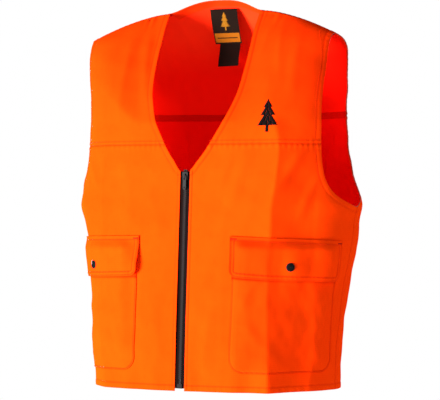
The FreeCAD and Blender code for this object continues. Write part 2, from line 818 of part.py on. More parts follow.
def tooth(side):
    """One moulded tooth: a head past the middle and a foot on the tape."""
    h = thi / 2
    pts = [(-1.7, -h * 0.55), (-1.2, -h), (3.3, -h), (3.3, h), (-1.2, h), (-1.7, h * 0.55)]
    w = Part.makePolygon([V(side * x, -tde / 2, z) for x, z in pts] + [V(side * pts[0][0], -tde / 2, pts[0][1])])
    body = Part.Face(w).extrude(V(0, tde, 0))
    # slot in the foot that the tape edge sits in
    x0 = min(side * 0.25, side * 3.4)
    slot = Part.makeBox(3.15, TT + 0.06, thi + 1, V(x0, -TT / 2 - 0.03, -thi / 2 - 0.5))
    return body.cut(slot)


for side, word in ((1, "left"), (-1, "right")):
    base = tooth(side)
    rows = []
    for k in range(ROWS):
        z = -4.0 - k * pitch - (pitch / 2 if side < 0 else 0.0)
        c = base.copy()
        c.translate(V(0, 0, z))
        rows.append(c)
    add("zipper_teeth_" + word, Part.makeCompound(rows), zip_place)

# top stops: one small block folded round each tape edge, above the teeth
stops = []
for side in (1, -1):
    b = Part.makeBox(2.6, 2.4, 3.0, V(0.6 if side > 0 else -3.2, -1.2, -2.6))
    s = Part.makeBox(2.6, TT + 0.06, 4.0, V(1.2 if side > 0 else -3.8, -TT / 2 - 0.03, -3.0))
    b = b.cut(s)
    stops += b.Solids
add("zipper_top_stops", Part.makeCompound(stops), zip_place)

# slider: front and back plate with the side flanges that hold the teeth in
SW, SL, SP, SC = S("slider_wide"), S("slider_long"), S("slider_plate"), S("slider_channel")
SLIDER_Z = -10.5                      # middle of the slider, at the top
hw, hl = SW / 2, SL / 2
outline = [(-hw * 0.86, -hl), (hw * 0.86, -hl), (hw * 0.86, -hl * 0.2), (hw, hl * 0.35), (hw, hl * 0.8),
           (hw * 0.8, hl), (-hw * 0.8, hl), (-hw, hl * 0.8), (-hw, hl * 0.35), (-hw * 0.86, -hl * 0.2)]


def slider_half(name, front):
    b = new_body(name)
    lift = SC / 2
    # the XZ plane's own normal points to -Y
    sk = new_sketch(b, name + "_plate", "XZ_Plane", [outline], lift if front else -lift)
    doc.recompute()
    pad(b, sk, name + "_pad", "dims.slider_plate", reverse=not front)
    doc.recompute()
    for s, w in ((1, "a"), (-1, "b")):
        fl = [(s * hw * 0.86, -hl), (s * hw * 0.86, hl * 0.3), (s * 3.75, hl * 0.3), (s * 3.75, -hl)]
        sk = new_sketch(b, name + "_rim_" + w, "XZ_Plane", [fl], lift if front else -lift)
        doc.recompute()
        pad(b, sk, name + "_flange_" + w, "dims.slider_channel / 2 - 0.7", reverse=front)
        doc.recompute()
    return b


sl_front = slider_half("zipper_slider", True)
# bridge that the pull hangs in
br_lift = SC / 2 + SP
for w, z0, z1 in (("low", -3.6, -2.2), ("high", 2.2, 3.6)):
    sk = new_sketch(sl_front, "bridge_foot_" + w, "XZ_Plane", [[(-0.8, z0), (0.8, z0), (0.8, z1), (-0.8, z1)]], br_lift - 0.3)
    doc.recompute()
    pad(sl_front, sk, "bridge_leg_" + w, "2.3 + 0.9")
    doc.recompute()
sk = new_sketch(sl_front, "bridge_top", "XZ_Plane", [[(-0.8, -3.6), (0.8, -3.6), (0.8, 3.6), (-0.8, 3.6)]], br_lift + 2.0)
doc.recompute()
pad(sl_front, sk, "bridge_bar", "0.9")
doc.recompute()
sl_back = slider_half("zipper_slider_back", False)
slide_place = zip_place.multiply(FreeCAD.Placement(V(0, 0, SLIDER_Z), FreeCAD.Rotation()))
sl_front.Placement = slide_place
sl_back.Placement = slide_place

# pull tab: a plate with a window, its top bar lies in the bridge
PLN, PWD, PTH = S("pull_long"), S("pull_wide"), S("pull_thick")
pull = new_body("zipper_pull")
hp = PWD / 2
PIVOT_LIFT = br_lift + 1.0
plate = [(-hp, 0.65), (hp, 0.65), (hp, -PLN + 3), (hp - 1.6, -PLN), (-hp + 1.6, -PLN), (-hp, -PLN + 3)]
window = [(-1.7, -0.6), (1.7, -0.6), (1.7, -6.4), (-1.7, -6.4)]
sk = new_sketch(pull, "pull_outline", "XZ_Plane", [plate, window])
doc.recompute()
pad(pull, sk, "pull_plate", "dims.pull_thick", middle=True)
doc.recompute()
sk = new_sketch(pull, "pull_hole", "XZ_Plane", [("c", 0.0, -PLN + 4.2, 1.3)], 3.0)
doc.recompute()
full = pull.Shape.Volume
hole = pull.newObject("PartDesign::Pocket", "pull_tail_hole")
hole.Profile = sk
hole.Type = 1
hole.Midplane = True
doc.recompute()
if pull.Shape.Volume > full - 1.0:
    hole.Reversed = True
    doc.recompute()
pull.Placement = slide_place.multiply(FreeCAD.Placement(V(0, -PIVOT_LIFT, 0), FreeCAD.Rotation()))

# retainer box at the foot of the zip and the insertion pin beside it
bx = new_body("zipper_retainer_box")
BW, BLN, BD = S("box_wide"), S("box_long"), S("box_deep")
sk = new_sketch(bx, "box_outline", "XZ_Plane", [[(-BW / 2, 0), (BW / 2, 0), (BW / 2, BLN - 1), (BW / 2 - 1, BLN), (-BW / 2 + 1, BLN), (-BW / 2, BLN - 1)]])
doc.recompute()
pad(bx, sk, "box_pad", "dims.box_deep", middle=True)
doc.recompute()
full = bx.Shape.Volume
sk = new_sketch(bx, "box_slot", "XZ_Plane", [[(-BW / 2 - 1, 1.7), (BW / 2 + 1, 1.7), (BW / 2 + 1, BLN + 1), (-BW / 2 - 1, BLN + 1)]])
doc.recompute()
cutp = bx.newObject("PartDesign::Pocket", "box_tape_slot")
cutp.Profile = sk
cutp.Type = 0
cutp.Length = 1.1
cutp.Midplane = True
doc.recompute()
sk = new_sketch(bx, "box_mouth", "XZ_Plane", [[(-2.6, 2.0), (2.6, 2.0), (2.6, BLN + 1), (-2.6, BLN + 1)]])
doc.recompute()
mouth = bx.newObject("PartDesign::Pocket", "box_socket")
mouth.Profile = sk
mouth.Type = 0
mouth.Length = 2.6
mouth.Midplane = True
doc.recompute()
bx.Placement = zip_place.multiply(FreeCAD.Placement(V(0, 0, -L + 0.4), FreeCAD.Rotation()))

pin = doc.addObject("Part::Box", "zipper_insertion_pin")
pin.Label = "zipper_insertion_pin"
PIECES[pin.Label] = pin
pin.setExpression("Length", "dims.pin_thick - 0.3")
pin.setExpression("Width", "dims.pin_thick + 0.6")
pin.Height = 7.8

# ------------------------------------------------------------------ labels
# woven neck label, sewn by its top edge and hanging free of the back yoke
LW, LH, LT = S("label_wide"), S("label_high"), S("label_thick")
lab = doc.addObject("Part::Box", "neck_label")
lab.Label = "neck_label"
PIECES[lab.Label] = lab
lab.setExpression("Length", "dims.label_wide")
lab.setExpression("Width", "dims.label_thick")
lab.setExpression("Height", "dims.label_high")
label_x = 0.5
label_rot = FreeCAD.Rotation(V(1, 0, 0), 20.0).multiply(FreeCAD.Rotation(V(0, 1, 0), 0.8))


def back_y(x, z):
    lo, hi = 0.0, math.pi / 2
    x = abs(x - SHIFT(z))
    for _ in range(40):
        m = (lo + hi) / 2
        if section(z, m, True)[0] < x:
            lo = m
        else:
            hi = m
    return section(z, lo, True)[1]


LTOP = 7.5
lab_y = back_y(label_x + LW / 2, LTOP) - 4.2
drop = label_rot.multVec(V(-LW / 2, 0, -LH))
lab.Placement = FreeCAD.Placement(V(label_x, lab_y, LTOP).add(drop), label_rot)

# care label: a narrower folded strip, sewn in with the neck label and
# curling forward at its end
CWD = S("care_wide")
care_path = [(LTOP - 58.0, lab_y + 58.0 * math.tan(math.radians(20)) + 1.4),
             (LTOP - 70.0, lab_y + 70.0 * math.tan(math.radians(20)) + 1.6),
             (LTOP - 80.0, lab_y + 80.0 * math.tan(math.radians(20)) - 0.4),
             (LTOP - 91.0, lab_y + 80.0 * math.tan(math.radians(20)) - 6.0),
             (LTOP - 101.0, lab_y + 80.0 * math.tan(math.radians(20)) - 13.0)]
care_x = label_x - CWD / 2 + 0.5
cs = Part.BSplineCurve()
cs.interpolate([V(care_x, y, z) for z, y in care_path])
cs2 = Part.BSplineCurve()
cs2.interpolate([V(care_x, y + 0.45, z + 0.25) for z, y in care_path])
strip = Part.Face(Part.Wire(Part.__sortEdges__([
    cs.toShape(), cs2.toShape(),
    Part.LineSegment(cs.value(cs.FirstParameter), cs2.value(cs2.FirstParameter)).toShape(),
    Part.LineSegment(cs.value(cs.LastParameter), cs2.value(cs2.LastParameter)).toShape()])))
care = strip.extrude(V(CWD, 0, 0))
add("care_label", care)

# chest emblem: a plain conifer worked in thread on the wearer's left chest
EX, EZ = 151.0, -190.0
tree = [(0, 29), (7.5, 15), (4.6, 15), (12, 1), (6.5, 1), (16, -17), (2.6, -17), (2.6, -28),
        (-2.6, -28), (-2.6, -17), (-16, -17), (-6.5, 1), (-12, 1), (-4.6, 15), (-7.5, 15)]
prism = prism_xz([(EX + x, EZ + z) for x, z in tree], -300, 0)
patch_sheet = full_sheet(False, CL / 2 + 0.1, CL / 2 + 0.7)
add("chest_emblem", one(patch_sheet.common(prism).Solids))

doc.recompute()
# the pin stands on the right tape edge, just above the retainer box
pin.Placement = zip_place.multiply(FreeCAD.Placement(V(-1.85, -1.1, -L + 8.9), FreeCAD.Rotation()))
doc.recompute()

# ------------------------------------------------------------------ output
bad = []
for o in doc.Objects:
    if any(s in ("Invalid", "Error") for s in o.State):
        bad.append(o.Name)
for name, o in PIECES.items():
    sh = o.Shape
    if sh.isNull() or not sh.isValid() or not sh.Solids:
        bad.append(name)
if bad:
    raise RuntimeError("failed objects: " + ", ".join(bad))
os.makedirs("parts", exist_ok=True)
for name, o in PIECES.items():
    o.Shape.exportStep("parts/" + name + ".step")
    bb = o.Shape.BoundBox
    print("%-24s solids %3d vol %9.1f  x %.0f..%.0f y %.0f..%.0f z %.0f..%.0f" % (
        name, len(o.Shape.Solids), o.Shape.Volume, bb.XMin, bb.XMax, bb.YMin, bb.YMax, bb.ZMin, bb.ZMax))
print("zip axis", zdir.x, zdir.y, zdir.z, "length", L)
piv = slide_place.multVec(V(0, -PIVOT_LIFT, 0))
print("pull pivot", piv.x, piv.y, piv.z, "axis", zrot.multVec(V(1, 0, 0)))
for side in (1, -1):
    p0 = surface_at(side, FI + 0.15 * FWID, FT)
    p1 = surface_at(side, FI + 0.85 * FWID, FT)
    pm = surface_at(side, FI + 0.5 * FWID, FT)
    print("flap", side, p0, p1, pm)
print("pieces", len(PIECES))
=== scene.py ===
import bpy, math
import numpy as np
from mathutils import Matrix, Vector, kdtree


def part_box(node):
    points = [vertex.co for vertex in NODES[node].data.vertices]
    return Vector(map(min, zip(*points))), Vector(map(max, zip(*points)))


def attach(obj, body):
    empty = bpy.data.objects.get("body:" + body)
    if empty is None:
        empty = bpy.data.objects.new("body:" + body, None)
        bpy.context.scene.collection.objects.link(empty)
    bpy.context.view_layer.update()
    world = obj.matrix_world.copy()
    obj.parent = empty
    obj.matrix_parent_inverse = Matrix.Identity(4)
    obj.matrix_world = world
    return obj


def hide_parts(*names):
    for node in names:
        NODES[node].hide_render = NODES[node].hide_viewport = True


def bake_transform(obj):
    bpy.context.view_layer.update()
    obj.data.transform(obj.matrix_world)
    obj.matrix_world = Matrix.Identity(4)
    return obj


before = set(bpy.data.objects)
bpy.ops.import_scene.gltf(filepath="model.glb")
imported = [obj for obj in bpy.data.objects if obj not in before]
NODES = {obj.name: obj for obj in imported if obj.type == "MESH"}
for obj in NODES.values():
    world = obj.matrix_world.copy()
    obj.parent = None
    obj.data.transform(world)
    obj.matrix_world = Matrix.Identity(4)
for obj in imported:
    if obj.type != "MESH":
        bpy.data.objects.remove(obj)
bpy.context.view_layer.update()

MM = 0.001
XN, XT, HEM = 89.0, 239.0, -662.0
rng = np.random.default_rng(7)


# =============================================================== the surface
def table(pts):
    xs = np.array([p[0] for p in pts], float)
    ys = np.array([p[1] for p in pts], float)
    h = np.diff(xs)
    d = np.diff(ys) / h
    m = np.zeros(len(xs))
    m[0], m[-1] = d[0], d[-1]
    for i in range(1, len(xs) - 1):
        if d[i - 1] * d[i] > 0:
            m[i] = 2 * d[i - 1] * d[i] / (d[i - 1] + d[i])

    def f(x):
        x = np.asarray(x, float)
        k = np.clip(np.searchsorted(xs, x, side="right") - 1, 0, len(xs) - 2)
        t = (x - xs[k]) / h[k]
        v = ((2 * t ** 3 - 3 * t * t + 1) * ys[k] + (t ** 3 - 2 * t * t + t) * h[k] * m[k]
             + (-2 * t ** 3 + 3 * t * t) * ys[k + 1] + (t ** 3 - t * t) * h[k] * m[k + 1])
        v = np.where(x <= xs[0], ys[0] + m[0] * (x - xs[0]), v)
        return np.where(x >= xs[-1], ys[-1] + m[-1] * (x - xs[-1]), v)
    return f


WIDE_F = table([(HEM, 224), (-600, 226), (-540, 229), (-493, 233), (-440, 242), (-404, 248),
                (-369, 254), (-340, 261), (-317, 257), (-285, 249), (-230, 244), (-187, 244),
                (-120, 244), (-47, 247)])
WIDE_B = table([(HEM, 224), (-600, 226), (-540, 229), (-493, 233), (-440, 242), (-404, 248),
                (-369, 254), (-340, 261), (-317, 254), (-285, 242), (-230, 233), (-187, 231),
                (-120, 233), (-75, 242), (-47, 250)])
DEEP_F = table([(HEM, 154), (-560, 154.6), (-440, 153.4), (-340, 152.4), (-285, 151.8),
                (-255, 149), (-221, 146), (-189, 141), (-150, 138), (-47, 136)])
DEEP_B = table([(HEM, 132), (-560, 130), (-440, 128), (-340, 132), (-285, 134), (-187, 132),
                (-47, 128)])
SQ_F = table([(HEM, 2.5), (-440, 2.6), (-340, 2.5), (-187, 2.5), (-47, 2.6)])
SQ_B = table([(HEM, 2.3), (-340, 2.3), (-47, 2.4)])
SHIFT = table([(HEM, -2), (-600, -2), (-540, 1), (-480, 4), (-404, 6), (-340, 3), (-250, 3),
               (-120, 2), (-40, 0), (20, 0)])
DROP_HF = table([(0, 200), (XN, 200), (150, 150), (200, 100), (XT, 66), (262, 60)])
DROP_PF = table([(0, 1.16), (XN, 1.16), (150, 1.35), (200, 1.55), (XT, 1.7), (262, 1.8)])
DROP_HB = table([(0, 200), (XN, 200), (150, 170), (200, 130), (XT, 90), (262, 80)])
DROP_PB = table([(0, 1.25), (XN, 1.45), (150, 1.6), (200, 1.75), (XT, 1.9), (262, 1.9)])
NECK_X = table([(-283, 9), (-278, 14), (-268, 21), (-255, 31), (-221, 52), (-189, 68.5),
                (-160, 78.5), (-146, 82), (-110, 86.5), (-71, 88.3), (0, 89)])
NECK_MID = table([(-283, 7), (-250, 8.5), (-210, 9), (-180, 7.5), (-140, 5.5), (-70, 3), (0, 0),
                  (60, 0)])
ARM_F = [(-44, -30), (-50, -41), (-69, -53), (-100, -61), (-132, -67), (-187, -72), (-224, -74.5),
         (-262, -76), (-285, -75), (-305, -71), (-320, -63), (-332, -48), (-339, -30),
         (-343, -14), (-345, 0)]
ARM_B = [(-44, -30), (-50, -18), (-60, -2), (-78, 16), (-100, 27), (-132, 37), (-187, 45),
         (-224, 47), (-262, 47), (-285, 45), (-305, 40), (-320, 32), (-333, 20), (-341, 9),
         (-345, 0)]
SIDE = math.radians(89.97)
YOKE_F, YOKE_B = -237.0, -185.0


def zip_x(z):
    return 8.0 + (-2.5 - 8.0) * (z + 281.0) / (-658.0 + 281.0)


def ease(t):
    t = np.clip(t, 0, 1)
    return t * t * (3 - 2 * t)


def ridge_z(x, back):
    x = np.abs(x)
    out = -47.0 * (np.clip(x - XN, 0, None) / (XT - XN)) ** 1.6
    if back:
        inner = 22.0 * np.clip(1 - (np.clip(x, 0, XN) / XN) ** 2.6, 0, 1) ** 1.5
        return np.where(x < XN, inner, out)
    return out


def ridge_y(x, back):
    x = np.abs(x)
    out = -18.0 - 14.0 * (x - XN) / (XT - XN)
    if back:
        inner = -18.0 + 18.0 * np.clip(1 - (np.clip(x, 0, XN) / XN) ** 2, 0, 1) ** 1.3
        return np.where(x < XN, inner, out)
    return out


def turned(x, y0, z, back):
    high, soft = (DROP_HB, DROP_PB) if back else (DROP_HF, DROP_PF)
    ax = np.abs(x)
    t = np.clip((ridge_z(x, back) - z) / high(ax), 0, 1)
    p = soft(ax)
    g = np.where(t > 0, (1 - (1 - t) ** p) ** (1 / p), 0.0)
    ry = ridge_y(x, back)
    return ry + (y0 - ry) * g


def sizes(z, back):
    w, d, s = (WIDE_B, DEEP_B, SQ_B) if back else (WIDE_F, DEEP_F, SQ_F)
    return w(z), d(z), s(z)


def at_ang(ang, z, back):
    a, b, n = sizes(z, back)
    s, c = np.abs(np.sin(ang)), np.abs(np.cos(ang))
    r = ((s / a) ** n + (c / b) ** n) ** (-1.0 / n)
    x = r * s * np.sign(ang)
    y = turned(x, r * c * (1 if back else -1), z, back)
    return np.stack([SHIFT(z) + x, y, z * np.ones_like(x)], -1)


def at_x(x, z, back):
    """x counted without the sideways shift."""
    a, b, n = sizes(z, back)
    q = np.clip(np.abs(x) / a, 0, 0.99999)
    y0 = b * (1 - q ** n) ** (1 / n) * (1 if back else -1)
    return np.stack([SHIFT(z) + x, turned(x, y0, z, back), z * np.ones_like(x)], -1)


def ang_of_x(x, z, back):
    a, b, n = sizes(z, back)
    q = np.clip(np.abs(x) / a, 0, 0.99999)
    return np.arctan2(x, b * (1 - q ** n) ** (1 / n))


def x_for_y(y, z, back):
    """Outer x where the sheet has depth y at level z."""
    y, z = np.broadcast_arrays(np.asarray(y, float), np.asarray(z, float))
    a = sizes(z, back)[0]
    lo, hi = np.full(z.shape, 95.0), a * 0.99999
    # above the shoulder point the sheet ends on the shoulder line
    reach = XN + (XT - XN) * (np.clip(-z, 0, None) / 47.0) ** (1 / 1.6)
    hi = np.minimum(hi, reach)
    for _ in range(46):
        m = (lo + hi) / 2
        ym = at_x(m, z, back)[..., 1]
        near = (ym > y) if back else (ym < y)
        lo = np.where(near, m, lo)
        hi = np.where(near, hi, m)
    return (lo + hi) / 2


def even_curve(pts, n):
    p = np.array(pts, float)
    acc = np.concatenate([[0], np.cumsum(np.hypot(*np.diff(p, axis=0).T))])
    fx, fy = table(list(zip(acc, p[:, 0]))), table(list(zip(acc, p[:, 1])))
    s = np.linspace(0, acc[-1], n)
    return np.stack([fx(s), fy(s)], 1)


def slid(curve, d):
    t = np.gradient(curve, axis=0)
    t /= np.linalg.norm(t, axis=1)[:, None]
    return curve + d * np.stack([-t[:, 1], t[:, 0]], 1)


def arm_line(back, side, grow=0.0, n=330):
    """The armhole edge, or a line grow mm from it on the cloth, from the
    shoulder down to the side seam: x without shift, z."""
    c = even_curve(ARM_B if back else ARM_F, n)
    c = slid(c, -grow if back else grow)
    z, y = c[:, 0], c[:, 1]
    if back:
        y = np.maximum(y, 0.0 + (-31) * (z > -60))
    else:
        y = np.minimum(y, 0.0)
    x = x_for_y(y, z, back)
    return side * x, z


def steps(length, fine=1.5, coarse=3.4, band=13.0):
    s, out = 0.0, [0.0]
    while s < length:
        near = min(s, length - s)
        s += fine if near < band else min(coarse, fine + (near - band) * 0.25 + 0.1)
        out.append(min(s, length))
    out = np.array(out)
    if len(out) > 2 and out[-1] - out[-2] < fine * 0.5:
        out = np.delete(out, -2)
    return out / out[-1]


def grid_normals(P, back):
    du = np.gradient(P, axis=1)
    dv = np.gradient(P, axis=0)
    n = np.cross(du, dv)
    n /= np.linalg.norm(n, axis=-1)[..., None] + 1e-12
    ref = np.stack([P[..., 0] / 3, P[..., 1] + 20.0, 12 + np.clip((P[..., 2] + 150) / 6, 0, None)],
                   -1)
    s = np.sign((n * ref).sum(-1))
    s[s == 0] = 1
    return n * s[..., None]


def fold_normals(fun, u, z, back):
    """Unit normals of fun(u, z, back), pointing out of the vest."""
    e = 1e-4 if fun is at_ang else 0.02
    lim = SIDE if fun is at_ang else 1e9
    ua, ub = np.clip(u - e, -lim, lim), np.clip(u + e, -lim, lim)
    du = fun(ub, z, back) - fun(ua, z, back)
    dv = fun(u, z + 0.02, back) - fun(u, z - 0.02, back)
    n = np.cross(du, dv)
    n /= np.linalg.norm(n, axis=-1)[..., None] + 1e-12
    P = fun(u, z, back)
    ref = np.stack([P[..., 0] / 3, P[..., 1] + 20.0, 12 + np.clip((P[..., 2] + 150) / 6, 0, None)],
                   -1)
    s = np.sign((n * ref).sum(-1))
    s[s == 0] = 1
    return P, n * s[..., None]


# arc length from the front middle
_zl = np.arange(-668.0, -380.0, 4.0)
_al = np.linspace(0, SIDE, 500)
_pt = at_ang(_al[None, :] + 0 * _zl[:, None], _zl[:, None] + 0 * _al[None, :], False)
_ar = np.concatenate([np.zeros((len(_zl), 1)),
                      np.cumsum(np.linalg.norm(np.diff(_pt[..., :2], axis=1), axis=-1), axis=1)], 1)
_sg = np.arange(0.0, 330.0, 2.0)
_tb = np.array([np.interp(_sg, _ar[i], _al) for i in range(len(_zl))])


def arc_ang(arc, z):
    i = np.clip((z - _zl[0]) / 4.0, 0, len(_zl) - 1.001)
    j = np.clip(arc / 2.0, 0, len(_sg) - 1.001)
    i0, j0 = i.astype(int), j.astype(int)
    fi, fj = i - i0, j - j0
    t = _tb
    return ((1 - fi) * ((1 - fj) * t[i0, j0] + fj * t[i0, j0 + 1])
            + fi * ((1 - fj) * t[i0 + 1, j0] + fj * t[i0 + 1, j0 + 1]))


# ========================================================= folds and creases
def waves(P, seed, length, n=7, stretch=(1, 1, 1)):
    r = np.random.default_rng(seed)
    out = 0
    for _ in range(n):
        k = r.normal(size=3)
        k /= np.linalg.norm(k)
        k *= 2 * math.pi / (length * r.uniform(0.75, 1.4)) * np.array(stretch)
        out = out + np.sin(P @ k + r.uniform(0, 6.28))
    return out / math.sqrt(n)


def tent(s, w, r=1.3):
    """A pressed fold: steep towards the middle of the vest, long outwards."""
    wl, wr = w
    k = np.where(s < 0, wl, wr)
    return np.exp(-(np.sqrt(s * s + r * r) - r) / k)


CREASE = [  # side of the vest, line X(z), height, width, top fade, arc factor
    (False, table([(-662, 151), (-503, 154), (-406, 160), (-353, 162), (-302, 168), (-243, 171),
                   (-188, 160), (-120, 150)]), 8.0, (27, 33), (-140, -215), 1.35),
    (False, table([(-662, 209), (-504, 219), (-381, 225), (-302, 230), (-250, 230)]),
     -4.2, (70, 30), (-250, -320), 2.0),
    (False, table([(-662, -158), (-419, -164), (-328, -166), (-230, -162)]), 3.2, (40, 24),
     (-190, -260), 1.35),
    (False, table([(-662, -214), (-500, -222), (-300, -228)]), -1.6, (24, 24), (-260, -330), 2.0),
    (False, table([(-662, 74), (-400, 78), (-200, 84)]), 1.2, (18, 22), (-330, -420), 1.05),
    (False, table([(-662, -76), (-400, -80), (-200, -84)]), 1.1, (22, 18), (-330, -420), 1.05),
    (True, table([(-662, 118), (-300, 122), (-60, 120)]), 2.6, (20, 34), (-40, -120), 1.15),
    (True, table([(-662, -116), (-300, -124), (-60, -120)]), 2.8, (34, 20), (-40, -120), 1.15),
    (True, table([(-662, 0), (-60, 2)]), 1.2, (24, 24), (-120, -230), 1.0),
]
FOLDS = [  # (front False / back True, X0, Z0, X1, Z1, height, half width)
    (False, 216, -236, 158, -326, 3.0, 9), (False, 231, -268, 206, -386, 2.6, 8),
    (False, 132, -238, 84, -392, 1.7, 13), (False, 108, -246, 60, -330, 1.0, 9),
    (False, -112, -12, -88, -186, 2.4, 9), (False, -146, -34, -128, -222, 1.9, 9),
    (False, 181, -34, 196, -176, 1.9, 9), (False, 152, -18, 166, -150, 1.8, 8),
    (False, 118, -10, 122, -120, 1.2, 8),
    (False, -206, -250, -168, -330, 1.9, 9), (False, -232, -262, -214, -372, 1.8, 8),
    (False, -128, -252, -92, -380, 1.3, 12),
    (False, 203, -662, 258, -505, 3.4, 12), (False, 152, -462, 96, -532, 2.0, 8),
    (False, 98, -470, 136, -600, 1.3, 12), (False, 172, -470, 196, -610, 1.2, 12),
    (False, -60, -300, -46, -420, 0.8, 10), (False, 62, -470, 46, -640, 1.1, 11),
    (False, -60, -480, -44, -640, 1.0, 11),
    (True, 196, -196, 120, -330, 2.4, 12), (True, -196, -198, -128, -318, 2.3, 12),
    (True, 70, -190, 52, -380, 2.0, 15), (True, -62, -190, -46, -400, 2.1, 15),
    (True, 205, -330, 168, -520, 2.2, 15), (True, -208, -330, -172, -540, 2.3, 15),
    (True, 30, -340, 58, -640, 2.1, 20), (True, -30, -380, -64, -650, 2.0, 20),
    (True, 128, -30, 150, -170, 1.6, 12), (True, -128, -30, -152, -170, 1.7, 12),
    (True, 60, -20, 84, -160, 1.2, 12), (True, -66, -20, -84, -160, 1.2, 12),
]
SNAPS = {}
for _s, _w in ((1, "left"), (-1, "right")):
    _a = arc_ang(np.array([189.5]), np.array([-446.0]))
    SNAPS[_w] = at_ang(_s * _a, np.array([-446.0]), False)[0]


def facet(X, Y, Z):
    """The two pressed folds of the left front with the flat strip between them."""
    h = np.zeros(len(X))
    m = np.where((X > 40) & (Z < -130))[0]
    if not len(m):
        return h
    x, y, z = X[m], Y[m], Z[m]
    a, b = CREASE[0][1](z), CREASE[1][1](z)
    fa, fb = ease((-140 - z) / 75), ease((-250 - z) / 70)
    s, t = x - a, np.clip((x - a) / (b - a), 0, 1)
    ya = at_x(a - SHIFT(z), z, False)[:, 1]
    yb = at_x(b - SHIFT(z), z, False)[:, 1]
    soft = tent(s * 1.35, (27, 33), 1.0)
    band = np.where(s < 0, soft, (1 - fb) * soft + fb * (1 - t))
    sink = np.where(x > b, np.exp(-(x - b) / 27.0), t) * (s > 0)
    flat = np.where((t > 0) & (t < 1), ya + (yb - ya) * t - y, 0)
    h[m] = FOLD_A * fa * band - fb * (FOLD_B * sink + 0.8 * flat)
    return h


FOLD_A, FOLD_B = 9.0, 7.0


def drape(P, back):
    """How far the cloth stands out of the plain body surface, in mm."""
    X, Y, Z = P[:, 0], P[:, 1], P[:, 2]
    h = np.zeros(len(P))
    for i, (b, line, high, w, (z0, z1), k) in enumerate(CREASE):
        if b == back and i > 1:
            h += high * tent((X - line(Z)) * k, w) * ease((z0 - Z) / (z0 - z1))
    if not back:
        h += facet(X, Y, Z)
    for b, x0, z0, x1, z1, high, w in FOLDS:
        if b != back:
            continue
        d = np.array([x1 - x0, z1 - z0], float)
        L = np.linalg.norm(d)
        d /= L
        s = ((X - x0) * d[0] + (Z - z0) * d[1]) / L
        e = (X - x0) * -d[1] + (Z - z0) * d[0] + 5 * np.sin(3.0 * s + x0)
        h += (1.6 if back else 1.0) * high * np.exp(-(e / w) ** 2) * ease(s / 0.35) * ease((1 - s) / 0.45)
    h += (0.9 + 0.9 * back) * waves(P, 3 + back, 120, stretch=(1, 1, 0.45))
    h += (0.42 + 0.25 * back) * waves(P, 13 + back, 46)
    h += 0.075 * waves(P, 23 + back, 15, 9)
    # the hem hangs in shallow waves
    low = ease((-520 - Z) / 150)
    h += low * (1.5 * np.sin(X / 17.0 + Y / 40.0 + 0.6) + 0.9 * np.sin(X / 8.1 + 2.0))
    # gathers where the shoulder seam eases into the neck
    top = ridge_z(X, back) - Z
    g = ease((np.abs(X) - 92) / 10) * ease((152 - np.abs(X)) / 22)
    h += (0.8 if back else 1.7) * g * np.sin(np.abs(X) * 2 * math.pi / 14.0 + 1.5 * np.sin(X / 8.3) + 0.05 * top) * (
        0.55 + 0.45 * np.sin(X / 6.7 + 1.0)) * np.exp(-(top / (15 + 6 * np.sin(X / 5.0))) ** 2)
    h *= ease((top + 1.0) / 6)
    # calm beside the zip, at the snaps and where the side seams meet
    zx = zip_x(Z)
    if not back:
        calm = np.where(Z < -262, ease((np.abs(X - zx) - 13) / 30), ease((np.abs(X - zx) - 3) / 26))
        h *= calm
        for w in SNAPS.values():
            r2 = ((P - w) ** 2).sum(1)
            h *= 1 - np.exp(-r2 / 26.0 ** 2) * np.clip(1.6 - r2 / 40.0 ** 2, 0, 1).clip(0, 1)
    side = np.exp(-(Y / 16.0) ** 2) * (Z < -330)
    h = h * (1 - side) + side * 0.5 * np.sin(Z / 23.0)
    return h


# lines on the cloth that have their own small relief
class Line:
    def __init__(self, pts, closed=False):
        p = np.asarray(pts, float)
        acc = np.concatenate([[0], np.cumsum(np.linalg.norm(np.diff(p, axis=0), axis=1))])
        n = max(3, int(acc[-1] / 1.0))
        s = np.linspace(0, acc[-1], n)
        self.p = np.stack([np.interp(s, acc, p[:, i]) for i in range(3)], 1)
        self.step = acc[-1] / (n - 1)
        self.length = acc[-1]
        self.kd = kdtree.KDTree(n)
        for i, q in enumerate(self.p):
            self.kd.insert(q, i)
        self.kd.balance()
        self.lo, self.hi = self.p.min(0) - 22, self.p.max(0) + 22

    def near(self, P):
        d = np.full(len(P), 1e3)
        s = np.zeros(len(P))
        m = np.where(np.all((P > self.lo) & (P < self.hi), 1))[0]
        for i in m:
            _, k, q = self.kd.find(P[i])
            d[i] = q
            s[i] = k * self.step
        return d, s


def neck_front(side, z):
    return NECK_MID(z) + side * NECK_X(np.minimum(z, 0)) - SHIFT(z)


def neck_rows(n=260):
    z = np.concatenate([np.linspace(-283, -240, 60)[:-1], np.linspace(-240, -0.6, n - 59)])
    return z


EDGES = {}     # finished edges: turned under, puffed, topstitched
SEAMS = {}     # seams between panels: a groove and puckers
for side, word in ((1, "left"), (-1, "right")):
    z = neck_rows()
    EDGES["neck_" + word] = (False, Line(at_x(neck_front(side, z), z, False)), 8.0)
    x, z = arm_line(False, side)
    EDGES["arm_front_" + word] = (False, Line(at_x(x, z, False)), 9.0)
    x, z = arm_line(True, side)
    EDGES["arm_back_" + word] = (True, Line(at_x(x, z, True)), 9.0)
    x = np.linspace(neck_front(side, -237.0), arm_line(False, side)[0][160], 2)
    xa = float(np.interp(237.0, -arm_line(False, 1)[1], arm_line(False, 1)[0])) * side
    x = np.linspace(float(neck_front(side, np.array(-237.0))), xa, 240)
    SEAMS["yoke_" + word] = (False, Line(at_x(x, np.full(240, YOKE_F), False)))
xa = float(np.interp(185.0, -arm_line(True, 1)[1], arm_line(True, 1)[0]))
x = np.linspace(-xa, xa, 400)
SEAMS["yoke_back"] = (True, Line(at_x(x, np.full(400, YOKE_B), True)))
